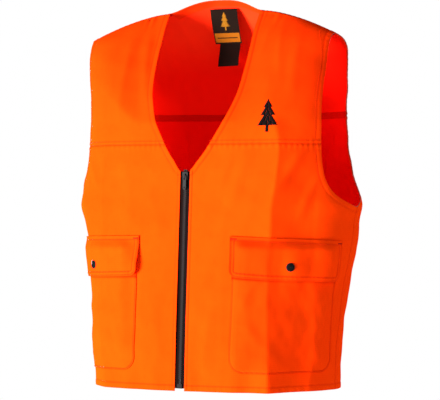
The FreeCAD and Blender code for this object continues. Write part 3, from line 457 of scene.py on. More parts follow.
x = np.linspace(-88.6, 88.6, 300)
EDGES["neck_back"] = (True, Line(at_x(x, ridge_z(x, True) - 0.02, True)), 8.0)
for side, word in ((1, "left"), (-1, "right")):
    x = np.linspace(XN, XT - 1, 200) * side
    zz = ridge_z(x, False) - 0.05
    SEAMS["shoulder_" + word] = (None, Line(at_x(x, zz, False)))
    z = np.linspace(-345.5, HEM, 260)
    SEAMS["side_" + word] = (None, Line(at_ang(np.full(260, side * SIDE), z, False)))


def relief(P, back):
    """Small relief of edges, seam lines and topstitching: (height, painted shade along them)."""
    h = np.zeros(len(P))
    # painted shade: darkens the cloth colour in the grooves of edges, seams, topstitching, the hem and beside the
    # zip
    painted_dark = np.zeros(len(P))
    for name, (b, line, w) in EDGES.items():
        if b != back:
            continue
        d, s = line.near(P)
        inside = d < w
        h += np.where(inside, 0.55 * np.sqrt(np.clip(1 - ((d - w * 0.42) / (w * 0.62)) ** 2, 0, 1)), 0)
        g = np.exp(-((d - w) / 1.25) ** 2)
        h -= 0.34 * g
        h += 0.20 * np.sin(2 * math.pi * s / (8.5 + 1.5 * math.sin(len(name)))
                           + 1.7 * np.sin(s / 31.0)) * np.exp(-((d - w * 0.5) / (w * 0.55)) ** 2)
        painted_dark += 0.75 * g + 0.35 * np.exp(-(d / 0.9) ** 2)
    for name, (b, line) in SEAMS.items():
        if b is not None and b != back:
            continue
        d, s = line.near(P)
        g = np.exp(-(d / 1.2) ** 2)
        up = {"yoke": 0.5, "shou": 0.35, "side": 0.25}[name[:4]]
        h -= 0.55 * g
        h += up * np.exp(-((d - 4.6) / 2.6) ** 2)
        if name[:4] == "yoke":
            above = P[:, 2] > (YOKE_B if b else YOKE_F)
            q = np.exp(-((d - 6.0) / 1.2) ** 2) * above
            h -= 0.28 * q
            painted_dark += 0.55 * q
            h += 0.42 * np.sin(2 * math.pi * s / 10.5 + 1.9 * np.sin(s / 26.0)) * np.exp(
                -((d - 2.0) / 7.5) ** 2)
        else:
            h += 0.22 * np.sin(2 * math.pi * s / 9.5 + 1.9 * np.sin(s / 26.0)) * np.exp(
                -(d / 7.0) ** 2)
        painted_dark += 0.95 * g
    # the hem, turned up 10 mm and stitched
    d = P[:, 2] - HEM
    h += np.where(d < 10, 0.5 * np.sqrt(np.clip(1 - ((d - 4.4) / 6.2) ** 2, 0, 1)), 0)
    g = np.exp(-((d - 10) / 1.25) ** 2)
    h -= 0.32 * g
    painted_dark += 0.7 * g + 0.3 * np.exp(-(d / 1.0) ** 2)
    h += 0.22 * np.sin(P[:, 0] / 1.55 + 2 * np.sin(P[:, 0] / 19)) * np.exp(-((d - 6) / 6.5) ** 2)
    if not back:
        # beside the zip
        d = np.abs(P[:, 0] - zip_x(P[:, 2])) - 9.4
        m = P[:, 2] < -279
        g = np.exp(-((d - 4.6) / 1.1) ** 2) * m
        h += np.where(m & (d < 4.6), 0.42 * np.sqrt(np.clip(1 - ((d - 2.0) / 3.0) ** 2, 0, 1)), 0)
        h -= 0.26 * g
        painted_dark += 0.6 * g
        h += 0.12 * np.sin(P[:, 2] / 1.7) * np.exp(-((d - 4) / 3.5) ** 2) * m
    return h, np.clip(0.7 * painted_dark, 0, 1.0)


# ================================================================== materials
def new_mat(name):
    m = bpy.data.materials.new(name)
    m.use_nodes = True
    nt = m.node_tree
    nt.nodes.clear()
    out = nt.nodes.new("ShaderNodeOutputMaterial")
    p = nt.nodes.new("ShaderNodeBsdfPrincipled")
    nt.links.new(p.outputs[0], out.inputs[0])
    return m, nt, p


def node(nt, kind, **kw):
    n = nt.nodes.new(kind)
    for k, v in kw.items():
        if k in n.bl_rna.properties:
            setattr(n, k, v)
        else:
            n.inputs[k].default_value = v
    return n


def math_node(nt, op, a, b=None):
    n = nt.nodes.new("ShaderNodeMath")
    n.operation = op
    for i, v in enumerate((a, b)):
        if v is None:
            continue
        if isinstance(v, (int, float)):
            n.inputs[i].default_value = v
        else:
            nt.links.new(v, n.inputs[i])
    return n.outputs[0]


def mixed(nt, fac, a, b, blend="MIX"):
    n = nt.nodes.new("ShaderNodeMix")
    n.data_type = "RGBA"
    n.blend_type = blend
    for sock, v in ((n.inputs[0], fac), (n.inputs[6], a), (n.inputs[7], b)):
        if isinstance(v, (int, float)):
            sock.default_value = v
        elif isinstance(v, (tuple, list)):
            sock.default_value = (*v, 1.0)
        else:
            nt.links.new(v, sock)
    return n.outputs[2]


def ramp(nt, fac, lo, hi):
    n = nt.nodes.new("ShaderNodeMapRange")
    n.inputs[1].default_value, n.inputs[2].default_value = lo, hi
    nt.links.new(fac, n.inputs[0])
    return n.outputs[0]


def cloth_mat(name, base, deep, pale, rough=0.86, weave=0.00055, bump=0.35, spec=0.0, sheen=0.030,
              tint=(1.0, 0.08, 0.002), twill=0.0, painted_glow=0.0, painted_shade_on=True):
    m, nt, p = new_mat(name)
    uv = nt.nodes.new("ShaderNodeUVMap")
    uv.uv_map = "cloth"
    tc = nt.nodes.new("ShaderNodeTexCoord")
    # threads: two crossed waves laid along the cut of the piece
    mp = nt.nodes.new("ShaderNodeMapping")
    mp.inputs["Rotation"].default_value = (0, 0, twill)
    nt.links.new(uv.outputs[0], mp.inputs[0])
    wv = []
    for axis in ("X", "Y"):
        w = nt.nodes.new("ShaderNodeTexWave")
        w.wave_type, w.bands_direction, w.wave_profile = "BANDS", axis, "SIN"
        w.inputs["Scale"].default_value = 1.0 / (weave * 2 * math.pi) * 0.314
        w.inputs["Distortion"].default_value = 0.6
        w.inputs["Detail"].default_value = 1.0
        nt.links.new(mp.outputs[0], w.inputs[0])
        wv.append(w.outputs["Fac"])
    cross = math_node(nt, "MULTIPLY", wv[0], wv[1])
    slub = node(nt, "ShaderNodeTexNoise", Scale=900.0, Detail=3.0)
    nt.links.new(tc.outputs["Object"], slub.inputs["Vector"])
    broad = node(nt, "ShaderNodeTexNoise", Scale=11.0, Detail=3.0)
    nt.links.new(tc.outputs["Object"], broad.inputs["Vector"])
    fine = node(nt, "ShaderNodeTexNoise", Scale=85.0, Detail=4.0)
    nt.links.new(tc.outputs["Object"], fine.inputs["Vector"])
    col = mixed(nt, ramp(nt, broad.outputs["Fac"], 0.35, 0.68), base, pale)
    col = mixed(nt, math_node(nt, "MULTIPLY", ramp(nt, fine.outputs["Fac"], 0.5, 0.85), 0.09), col, deep)
    col = mixed(nt, math_node(nt, "MULTIPLY", cross, 0.10), col, deep)
    # painted shade: the per-vertex seam attribute darkens the colour towards deep
    if painted_shade_on:
        at = nt.nodes.new("ShaderNodeAttribute")
        at.attribute_name = "seam"
        col = mixed(nt, math_node(nt, "MULTIPLY", at.outputs["Fac"], 0.68), col, deep)
    nt.links.new(col, p.inputs["Base Color"])
    # painted light: a faint emission glow stands in for daylight coming through the thin cloth
    p.inputs["Emission Color"].default_value = (1.0, base[1] / base[0] * 0.6, 0.002, 1)
    p.inputs["Emission Strength"].default_value = painted_glow
    p.inputs["Roughness"].default_value = rough
    p.inputs["Specular IOR Level"].default_value = spec
    p.inputs["Sheen Weight"].default_value = sheen
    p.inputs["Sheen Roughness"].default_value = 0.4
    p.inputs["Sheen Tint"].default_value = (*tint, 1)
    hgt = math_node(nt, "ADD", math_node(nt, "MULTIPLY", cross, 0.6),
                    math_node(nt, "MULTIPLY", slub.outputs["Fac"], 0.5))
    hgt = math_node(nt, "ADD", hgt, math_node(nt, "MULTIPLY", fine.outputs["Fac"], 1.2))
    bp = nt.nodes.new("ShaderNodeBump")
    bp.inputs["Strength"].default_value = bump
    bp.inputs["Distance"].default_value = 0.00022
    nt.links.new(hgt, bp.inputs["Height"])
    nt.links.new(bp.outputs[0], p.inputs["Normal"])
    return m


def hard_mat(name, base, other, rough, metal=0.0, spec=0.4, scale=160.0, coat=0.0, bump=0.08):
    m, nt, p = new_mat(name)
    tc = nt.nodes.new("ShaderNodeTexCoord")
    n1 = node(nt, "ShaderNodeTexNoise", Scale=scale, Detail=5.0)
    n2 = node(nt, "ShaderNodeTexNoise", Scale=scale * 9, Detail=3.0)
    for n in (n1, n2):
        nt.links.new(tc.outputs["Object"], n.inputs["Vector"])
    geo = nt.nodes.new("ShaderNodeNewGeometry")
    edge = ramp(nt, geo.outputs["Pointiness"], 0.515, 0.56)
    col = mixed(nt, ramp(nt, n1.outputs["Fac"], 0.35, 0.7), base, other)
    col = mixed(nt, math_node(nt, "MULTIPLY", edge, 0.35), col, tuple(min(1, c * 2.2 + 0.02) for c in other))
    nt.links.new(col, p.inputs["Base Color"])
    r = nt.nodes.new("ShaderNodeMapRange")
    r.inputs[3].default_value, r.inputs[4].default_value = rough * 0.8, rough * 1.25
    nt.links.new(n1.outputs["Fac"], r.inputs[0])
    nt.links.new(r.outputs[0], p.inputs["Roughness"])
    p.inputs["Metallic"].default_value = metal
    p.inputs["Specular IOR Level"].default_value = spec
    p.inputs["Coat Weight"].default_value = coat
    bp = nt.nodes.new("ShaderNodeBump")
    bp.inputs["Strength"].default_value = bump
    bp.inputs["Distance"].default_value = 0.0001
    nt.links.new(n2.outputs["Fac"], bp.inputs["Height"])
    nt.links.new(bp.outputs[0], p.inputs["Normal"])
    return m


ORANGE = cloth_mat("blaze_cloth", (0.92, 0.040, 0.0010), (0.50, 0.006, 0.0004), (0.94, 0.046, 0.0012))
# painted shade: the inside of the same blaze cloth, made darker and redder as it looks in shade, with a painted glow
INNER = cloth_mat("blaze_cloth_inside", (0.80, 0.0026, 0.0010), (0.50, 0.0015, 0.0004),
                  (0.84, 0.0036, 0.0011), bump=0.25, painted_glow=0.055)
# painted light and shade: inside of the yokes, lighter orange where light falls near the neck, mixed to deep red
# lower down, with a painted glow
INNER_UP = cloth_mat("blaze_yoke_inside", (0.93, 0.0260, 0.0050), (0.86, 0.0040, 0.0012),
                     (0.94, 0.0320, 0.0065), bump=0.25, painted_glow=0.065)
# painted shade: a darker copy of the inside cloth for the seam allowances
INNER_LOW = cloth_mat("blaze_seam_inside", (0.52, 0.0026, 0.0006), (0.32, 0.0014, 0.0003),
                      (0.56, 0.0034, 0.0006), bump=0.3, painted_glow=0.03)
# a pale greyish cord along the armhole edges
EDGE = cloth_mat("armhole_edge_pale", (0.30, 0.13, 0.10), (0.22, 0.06, 0.045), (0.36, 0.18, 0.15),
                 rough=0.8, weave=0.0003, painted_shade_on=False)
# painted light: a copy of the blaze cloth toned to the lit band at the top of the inside
FACING = cloth_mat("blaze_facing", (0.84, 0.024, 0.002), (0.5, 0.008, 0.001), (0.88, 0.030, 0.0025),
                   weave=0.0004)
THREAD = cloth_mat("orange_thread", (0.86, 0.028, 0.001), (0.55, 0.008, 0.0005), (0.90, 0.036, 0.0012),
                   rough=0.6, spec=0.05, painted_shade_on=False, weave=0.0003)
TACK = cloth_mat("bartack_thread", (0.42, 0.007, 0.001), (0.26, 0.003, 0.0005), (0.50, 0.010, 0.001),
                 rough=0.6, spec=0.05, painted_shade_on=False, weave=0.0003)
TAPE = cloth_mat("zip_tape_weave", (0.0058, 0.0026, 0.0024), (0.0022, 0.001, 0.001),
                 (0.0085, 0.0040, 0.0036), rough=0.9, weave=0.0009, bump=0.6, spec=0.015,
                 tint=(0.1, 0.06, 0.06), painted_shade_on=False)
BLACK_THREAD = cloth_mat("black_thread", (0.0030, 0.0016, 0.0016), (0.0014, 0.0008, 0.0008),
                         (0.0050, 0.0028, 0.0026), rough=0.62, spec=0.03, tint=(0.1, 0.07, 0.07),
                         painted_shade_on=False, weave=0.0003)
LABEL = cloth_mat("label_weave", (0.0060, 0.0027, 0.0016), (0.003, 0.0016, 0.001), (0.0095, 0.0042, 0.0024),
                  rough=0.8, weave=0.0005, bump=0.5, spec=0.025, tint=(0.2, 0.14, 0.1), painted_shade_on=False)
CARE = cloth_mat("care_satin", (0.0050, 0.0018, 0.0012), (0.003, 0.0012, 0.0008), (0.0080, 0.0028, 0.0018),
                 rough=0.75, weave=0.0005, bump=0.3, spec=0.025, tint=(0.2, 0.14, 0.1), painted_shade_on=False)
GOLD = cloth_mat("gold_thread", (0.26, 0.098, 0.006), (0.15, 0.048, 0.004), (0.31, 0.125, 0.009),
                 rough=0.7, spec=0.03, sheen=0.01, tint=(0.6, 0.4, 0.1), painted_shade_on=False, weave=0.0003)
STRIP = cloth_mat("label_strip", (0.22, 0.060, 0.003), (0.14, 0.034, 0.002), (0.26, 0.074, 0.004),
                  rough=0.8, spec=0.02, sheen=0.01, tint=(0.6, 0.3, 0.1), painted_shade_on=False, weave=0.0005, bump=0.5)
PLASTIC = hard_mat("moulded_black", (0.0046, 0.0029, 0.0028), (0.0082, 0.0058, 0.0056), 0.66, spec=0.018)
SLIDER = hard_mat("slider_black", (0.0045, 0.0036, 0.0036), (0.009, 0.0075, 0.0075), 0.5, metal=0.0,
                  spec=0.045, coat=0.0)
SNAP = hard_mat("snap_black", (0.0048, 0.0040, 0.0040), (0.0085, 0.0072, 0.0072), 0.45, metal=0.0,
                spec=0.008, coat=0.0, bump=0.03)
BRASS = hard_mat("snap_metal", (0.30, 0.29, 0.28), (0.18, 0.17, 0.165), 0.34, metal=1.0, scale=90)
"""pale studio floor"""
FLOOR = hard_mat("studio_floor", (0.80, 0.80, 0.80), (0.84, 0.84, 0.84), 0.8, spec=0.1, scale=3.0,
                 bump=0.0)
_p = [n for n in FLOOR.node_tree.nodes if n.type == "BSDF_PRINCIPLED"][0]
_p.inputs["Emission Color"].default_value = (1, 1, 1, 1)
_p.inputs["Emission Strength"].default_value = 0.30


# ==================================================================== meshes
def make(name, verts, faces, mats, index=None, uv=None, seam=None, sharp=48):
    me = bpy.data.meshes.new(name)
    me.from_pydata((np.asarray(verts) * MM).tolist(), [], [tuple(int(i) for i in f) for f in faces])
    for m in mats:
        me.materials.append(m)
    if index is not None:
        me.polygons.foreach_set("material_index", np.asarray(index, np.int32))
    if uv is not None:
        lay = me.uv_layers.new(name="cloth")
        vi = np.zeros(len(me.loops), np.int32)
        me.loops.foreach_get("vertex_index", vi)
        lay.data.foreach_set("uv", (np.asarray(uv)[vi] * MM).astype(np.float32).ravel())
    # the seam attribute carries painted shade, which the cloth materials mix into their colour
    if seam is not None:
        at = me.attributes.new("seam", "FLOAT", "POINT")
        at.data.foreach_set("value", np.asarray(seam, np.float32))
    me.shade_smooth()
    if sharp:
        me.set_sharp_from_angle(angle=math.radians(sharp))
    me.validate()
    me.update()
    o = bpy.data.objects.new(name, me)
    bpy.context.scene.collection.objects.link(o)
    return o


def arcs(P):
    u = np.concatenate([np.zeros((P.shape[0], 1)),
                        np.cumsum(np.linalg.norm(np.diff(P, axis=1), axis=-1), axis=1)], 1)
    v = np.concatenate([np.zeros((1, P.shape[1])),
                        np.cumsum(np.linalg.norm(np.diff(P, axis=0), axis=-1), axis=0)], 0)
    u -= u[:, u.shape[1] // 2][:, None]
    return np.stack([u, v], -1)


def area_of(P):
    a = np.cross(P[1:, 1:] - P[:-1, :-1], P[1:, :-1] - P[:-1, 1:])
    return float(np.linalg.norm(a, axis=-1).sum() / 2) * MM * MM


def slab_arrays(outer, inner, N):
    """Two layers and a rim round the grid's border."""
    R, C = outer.shape[:2]
    idx = np.arange(R * C).reshape(R, C)
    q = np.stack([idx[:-1, :-1], idx[:-1, 1:], idx[1:, 1:], idx[1:, :-1]], -1).reshape(-1, 4)
    g = np.cross(outer[:-1, 1:] - outer[:-1, :-1], outer[1:, :-1] - outer[:-1, :-1])
    if (g * N[:-1, :-1]).sum() < 0:
        q = q[:, ::-1]
        flip = True
    else:
        flip = False
    n = R * C
    qi = q[:, ::-1] + n
    ring = np.concatenate([idx[0, :-1], idx[:-1, -1], idx[-1, :0:-1], idx[:0:-1, 0]])
    nxt = np.roll(ring, -1)
    rim = np.stack([ring, ring + n, nxt + n, nxt], -1)
    if flip:
        rim = rim[:, ::-1]
    verts = np.concatenate([outer.reshape(-1, 3), inner.reshape(-1, 3)])
    faces = np.concatenate([q, qi, rim])
    index = np.concatenate([np.zeros(len(q)), np.ones(len(qi)), np.zeros(len(rim))])
    return verts, faces, index


FLAT = {}


def cloth_piece(name, P, N, back, off=(0.5, -0.5), mats=None, micro=True, extra=None, seam=None,
                painted_shade_in=None,
                body="shell", replaces=(), with_drape=True, blend=None, sheet=True,
                hem=False):
    """P, N: grid of the plain surface and its normals. The cloth's two sides
    are laid at off from it after the drape has been added."""
    R, C = P.shape[:2]
    flatP = P.reshape(-1, 3)
    D = drape(flatP, back) if with_drape else np.zeros(len(flatP))
    painted_dark = np.zeros(len(flatP))
    if micro:
        h, painted_dark = relief(flatP, back)
    else:
        h = 0
    D = (D).reshape(R, C)
    H = (np.zeros(len(flatP)) + h).reshape(R, C)
    E = 0 if extra is None else extra
    outer = P + N * (D + H + E + off[0])[..., None]
    inner = P + N * (D + 0.35 * H + E + off[1])[..., None]
    # painted shade: any extra darkening given for the piece is added to that of its grooves
    if seam is not None:
        painted_dark = painted_dark + seam.reshape(-1)
    verts, faces, index = slab_arrays(outer, inner, N)
    uv = arcs(P).reshape(-1, 2)
    uv = np.concatenate([uv, uv + 0.3])
    # painted shade per vertex, outer side then inner side (half as strong on the inner side unless an inner amount
    # is given)
    shade_paint = np.concatenate([painted_dark, painted_dark * 0.5 if painted_shade_in is None else painted_shade_in.reshape(-1)])
    if hem:   # the turned-up allowance, inside
        rows = [i for i in range(R) if P[i, :, 2].mean() < HEM + 10.6]
        S = slice(rows[0], rows[-1] + 1) if rows[0] == 0 or True else None
        v2, f2, i2 = slab_arrays(inner[S] - N[S] * 0.08, inner[S] - N[S] * 0.75, N[S])
        u2 = arcs(P).reshape(R, C, 2)[S].reshape(-1, 2)
        faces = np.concatenate([faces, f2 + len(verts)])
        verts = np.concatenate([verts, v2])
        index = np.concatenate([index, np.ones(len(f2))])
        uv = np.concatenate([uv, u2, u2])
        shade_paint = np.concatenate([shade_paint, np.zeros(len(v2))])
    o = make(name, verts, faces, mats or [ORANGE, INNER], index, uv, shade_paint)
    if blend:
        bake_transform(o)
    else:
        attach(o, body)
    if replaces:
        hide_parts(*replaces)
    if sheet:
        w = float(np.linalg.norm(np.diff(P, axis=1), axis=-1).sum(1).max()) * MM
        l = float(np.linalg.norm(np.diff(P, axis=0), axis=-1).sum(0).max()) * MM
        A = min(area_of(P), w * l)
        w, l = round(w + 0.0006, 3), round(l + 0.0006, 3)
        FLAT[name] = (w, l, round(A, 4))
    return o


SIDES = np.array([(math.cos(a), math.sin(a)) for a in np.linspace(0, 2 * math.pi, 7)[:-1] + 0.3])


def tubes(name, P, N, r, mat, flat=0.62, body="shell", blend=None, sides=SIDES, replaces=()):
    """Threads: P, N (count, points, 3), r (points,) or (count, points)."""
    T = np.gradient(P, axis=1)
    T /= np.linalg.norm(T, axis=-1)[..., None] + 1e-12
    B = np.cross(T, N)
    B /= np.linalg.norm(B, axis=-1)[..., None] + 1e-12
    M = np.cross(B, T)
    r = np.broadcast_to(np.asarray(r, float), P.shape[:2])
    ring = (P[:, :, None, :] + r[:, :, None, None] * (
        B[:, :, None, :] * sides[None, None, :, :1] + flat * M[:, :, None, :] * sides[None, None, :, 1:]))
    n, m, k = ring.shape[:3]
    verts = ring.reshape(-1, 3)
    base = (np.arange(n)[:, None, None] * m + np.arange(m - 1)[None, :, None]) * k
    j = np.arange(k)[None, None, :]
    a, b = base + j, base + (j + 1) % k
    q = np.stack([a, b, b + k, a + k], -1).reshape(-1, 4)
    g = np.cross(verts[q[0, 1]] - verts[q[0, 0]], verts[q[0, 3]] - verts[q[0, 0]])
    outw = verts[q[0]].mean(0) - P[0, :2].mean(0)
    flip = (g * outw).sum() < 0
    first = (np.arange(n) * m * k)[:, None] + np.arange(k)[None]
    last = first + (m - 1) * k
    faces = [tuple(f[::-1]) if flip else tuple(f) for f in q.tolist()]
    caps = [tuple(f[::-1]) for f in first.tolist()] + [tuple(f) for f in last.tolist()]
    faces += [tuple(f[::-1]) if flip else f for f in caps]
    uv = np.stack([np.tile(np.arange(k), n * m) * 0.2, np.repeat(np.arange(n * m), k) * 0.7], 1)
    o = make(name, verts, faces, [mat], None, uv, None, sharp=0)
    if blend:
        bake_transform(o)
    else:
        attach(o, body)
    if replaces:
        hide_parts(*replaces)
    return o


def along(P, pitch, fill=0.74, pts=4):
    """Stitches laid end to end on a polyline: positions (count, pts) as
    fractional indexes into it."""
    acc = np.concatenate([[0], np.cumsum(np.linalg.norm(np.diff(P, axis=0), axis=1))])
    n = max(1, int(acc[-1] / pitch))
    p = acc[-1] / n
    s0 = np.arange(n) * p + p * (1 - fill) / 2
    s = s0[:, None] + np.linspace(0, 1, pts)[None] * p * fill
    return np.interp(s, acc, np.arange(len(acc)))


def pick(A, f):
    i = np.clip(f.astype(int), 0, len(A) - 2)
    t = (f - i)[..., None]
    return A[i] * (1 - t) + A[i + 1] * t


STITCH = {"shell": [], "pocket_flap_left": [], "pocket_flap_right": []}


def stitch_line(where, P, N, off, pitch=3.1, fill=0.74, sink=True):
    """P, N on the plain surface, already with the drape; off above it."""
    f = along(P, pitch, fill)
    q = pick(P + N * np.asarray(off).reshape(-1, 1), f)
    n = pick(N, f)
    n /= np.linalg.norm(n, axis=-1)[..., None]
    q = q + n * np.array([-0.34, 0.10, 0.10, -0.34])[None, :, None]
    STITCH[where].append((q, n))


def draped(fun, u, z, back, micro=True):
    P, N = fold_normals(fun, u, z, back)
    h = drape(P, back)
    if micro:
        h = h + relief(P, back)[0]
    return P + N * h[:, None], N


# ------------------------------------------------------------- front panels
def front_lower(side):
    """Grid of the lower front from the zip out to the side seam and armhole."""
    xa, za = arm_line(False, side, n=400)
    keep = za < YOKE_F
    xa, za = xa[keep][::-1], za[keep][::-1]          # from the side seam up to the yoke
    zs = np.linspace(HEM, -345.0, 200)
    zo = np.concatenate([zs, za[1:], [YOKE_F]])
    ao = np.concatenate([np.full(200, side * SIDE), ang_of_x(xa, za, False)[1:],
                         [0]])
    ao[-1] = ang_of_x(np.interp(237.0, -arm_line(False, 1)[1], arm_line(False, 1)[0]) * side,
                      np.array(YOKE_F), False)
    Po = at_ang(ao, zo, False)
    acc = np.concatenate([[0], np.cumsum(np.linalg.norm(np.diff(Po, axis=0), axis=1))])
    s = steps(acc[-1], 1.5, 3.4, 13)
    s = np.unique(np.concatenate([s, [10.5 / acc[-1]]]))
    z_out = np.interp(s * acc[-1], acc, zo)
    a_out = np.interp(s * acc[-1], acc, ao)
    z_in = HEM + (YOKE_F - HEM) * s
    # denser where the front edge leaves the zip
    x_edge = np.where(z_in < -281.0, zip_x(z_in) + side * 9.4 - SHIFT(z_in),
                      neck_front(side, np.maximum(z_in, -283)))
    x_edge = np.where((z_in >= -283) & (z_in < -270),
                      np.where(side > 0, np.maximum(x_edge, zip_x(z_in) + 9.4 - SHIFT(z_in)),
                               np.minimum(x_edge, zip_x(z_in) - 9.4 - SHIFT(z_in))), x_edge)
    a_in = ang_of_x(x_edge, z_in, False)
    u = steps(300, 1.5, 3.4, 13)[None, :]
    h = u ** 2.2
    z = z_in[:, None] + (z_out - z_in)[:, None] * h
    ang = a_in[:, None] + (a_out - a_in)[:, None] * u
    # keep even arc length across: angle runs unevenly round the section
    P = at_ang(ang, z, False)
    for _ in range(2):
        seg = np.concatenate([np.zeros((len(s), 1)),
                              np.cumsum(np.linalg.norm(np.diff(P, axis=1), axis=-1), axis=1)], 1)
        want = u * seg[:, -1:]
        ang = np.array([np.interp(want[i], seg[i], ang[i]) for i in range(len(s))])
        P = at_ang(ang, z, False)
    return P


for side, word in ((1, "left"), (-1, "right")):
    P = front_lower(side)
    cloth_piece("front_" + word, P, grid_normals(P, False), False,
                replaces=("front_panel_" + word,), hem=True)


# --------------------------------------------------------------------- yokes
def yoke(back, side=0):
    low = YOKE_B if back else YOKE_F
    # rows: q = 1 on the seam, 0 on the shoulder line
    q = np.linspace(0, 1, 400) ** 1.9
    xm = 140.0
    zz = ridge_z(np.array(xm), back) * (1 - q) + low * q
    Pm = at_x(np.full(400, xm), zz, back)
    acc = np.concatenate([[0], np.cumsum(np.linalg.norm(np.diff(Pm, axis=0), axis=1))])
    s = steps(acc[-1], 1.5, 3.4, 13)
    q = np.interp(s * acc[-1], acc, q)[::-1]
    q[-1] = 0.0
    xe, ze = arm_line(back, 1, n=500)
    o = np.argsort(ze)
    xe, ze = xe[o], ze[o]
    z_out = np.full(len(q), -100.0)
    for _ in range(60):
        x_out = np.interp(z_out, ze, xe)
        rz = ridge_z(x_out, back)
        z_out = 0.5 * z_out + 0.5 * (rz + q * (low - rz))
    x_out = np.interp(z_out, ze, xe)
    x_out = np.where(q <= 0, XT - 1.0, x_out)
    if back:
        u = steps(470, 1.5, 3.4, 13)[None, :] * 2 - 1
        x = u * x_out[:, None]
    else:
        z_in = low * q
        x_in = np.abs(neck_front(side, z_in))
        u = steps(150, 1.5, 3.4, 13)[None, :]
        x = (x_in[:, None] + (x_out - x_in)[:, None] * u) * side
    rz = ridge_z(x, back)
    z = rz + q[:, None] * (low - rz)
    return at_x(x, z - 0.01 * (q[:, None] == 0), back)


for side, word in ((1, "left"), (-1, "right")):
    P = yoke(False, side)
    # painted shade: the front yokes darken towards the shoulders, more on the wearer's left
    cloth_piece("yoke_front_" + word, P, grid_normals(P, False), False,
                seam=(0.62 if side > 0 else 0.30) * ease((P[..., 2] + 240) / 120),
                mats=[ORANGE, INNER_UP], replaces=("front_yoke_" + word,))
P = yoke(True)
# painted light and shade inside the back yoke: lighter near the neck, deeper red further down
cloth_piece("yoke_back", P, grid_normals(P, True), True, mats=[ORANGE, INNER_UP],
            painted_shade_in=1.47 * ease((-18 - P[..., 2] + 0.10 * P[..., 0]) / 88),
            replaces=("back_yoke",))
_xa = float(np.interp(185.0, -arm_line(True, 1)[1], arm_line(True, 1)[0])) - 8.0
_x = np.linspace(-_xa, _xa, 240)
_rows = [(_x, np.full(240, YOKE_B + d)) for d in (-3.0, -1.0, 2.0, 5.0, 8.5)]
_P = np.stack([at_x(x - 0 * z, z, True) for x, z in _rows])
_N = np.stack([fold_normals(at_x, x, z, True)[1] for x, z in _rows])
cloth_piece("yoke_seam_allowance", _P, _N, True, off=(-0.75, -1.55), mats=[INNER_LOW, INNER_LOW],
            micro=False, extra=0.25 * np.sin(np.arange(240) / 2.1)[None, :] * np.array(
                [0, 0, 0.3, 0.7, 1.0])[:, None])


# seam allowances inside the front yoke, side and shoulder seams
def across(fun, u, v, arcs_at):
    """Points at the given distances from the seam, where the seam is at u = 0."""
    P = fun(u[None, :], v[:, None])
    acc = np.concatenate([np.zeros((len(v), 1)),
                          np.cumsum(np.linalg.norm(np.diff(P, axis=1), axis=-1), axis=1)], 1)
    uu = np.array([np.interp(arcs_at, acc[i], u) for i in range(len(v))])
    return fun(uu, v[:, None] + 0 * uu)


def allowance(name, fun, u, v, up, reach, extra):
    F = across(lambda a, b: fun(a, b, False), u, v, np.array(reach[::-1] + [0.0]))
    B = across(lambda a, b: fun(a, b, True), u, v, np.array(reach))
    Q = np.concatenate([F, B], 1)
    n = np.cross(np.gradient(Q, axis=1), np.gradient(Q, axis=0))
    n /= np.linalg.norm(n, axis=-1)[..., None]
    n *= np.sign((n * np.array(up)).sum(-1))[..., None]
    cloth_piece(name, Q, n, True, off=(-0.72, -1.45), mats=[INNER_LOW, INNER_LOW], micro=False,
                extra=extra[:, None] * np.ones((1, Q.shape[1])))


for side, word in ((1, "left"), (-1, "right")):
    v = np.linspace(HEM + 0.6, -346.5, 150)
    allowance("side_seam_allowance_" + word,
              lambda a, z, b: at_ang(side * (SIDE - a), z, b), 0.25 * np.linspace(0, 1, 80) ** 2, v,
              (side, 0, 0), [1.4, 3.2, 6.2],
              -0.72 * ease((HEM + 12.4 - v) / 1.6) - 0.72 * ease((v + 360.0) / 2.0))
    v = np.linspace(XN + 0.9, XT - 3.0, 90)
    allowance("shoulder_seam_allowance_" + word,
              lambda d, x, b: at_x(side * x, ridge_z(x, b) - d, b), 5.0 * np.linspace(0, 1, 80) ** 2, v,
              (0, 0, 1), [1.4, 3.2, 6.0],
              -0.72 * (1 - ease((v - XN - 11.5) / 2.5) * ease((XT - 12.5 - v) / 2.5)))
    _a = float(neck_front(side, np.array(YOKE_F))) + side * 11.5
    _b = float(np.interp(-YOKE_F, -arm_line(False, side)[1], arm_line(False, side)[0])) - side * 11.5
    _x = np.linspace(_a, _b, 110)
    _rows = [(_x, np.full(110, YOKE_F + d)) for d in (-3.0, -1.0, 2.0, 5.0, 8.5)]
    cloth_piece("front_yoke_allowance_" + word, np.stack([at_x(x, z, False) for x, z in _rows]),
                np.stack([fold_normals(at_x, x, z, False)[1] for x, z in _rows]), False,
                off=(-0.78, -1.5), mats=[INNER_LOW, INNER_LOW], micro=False)


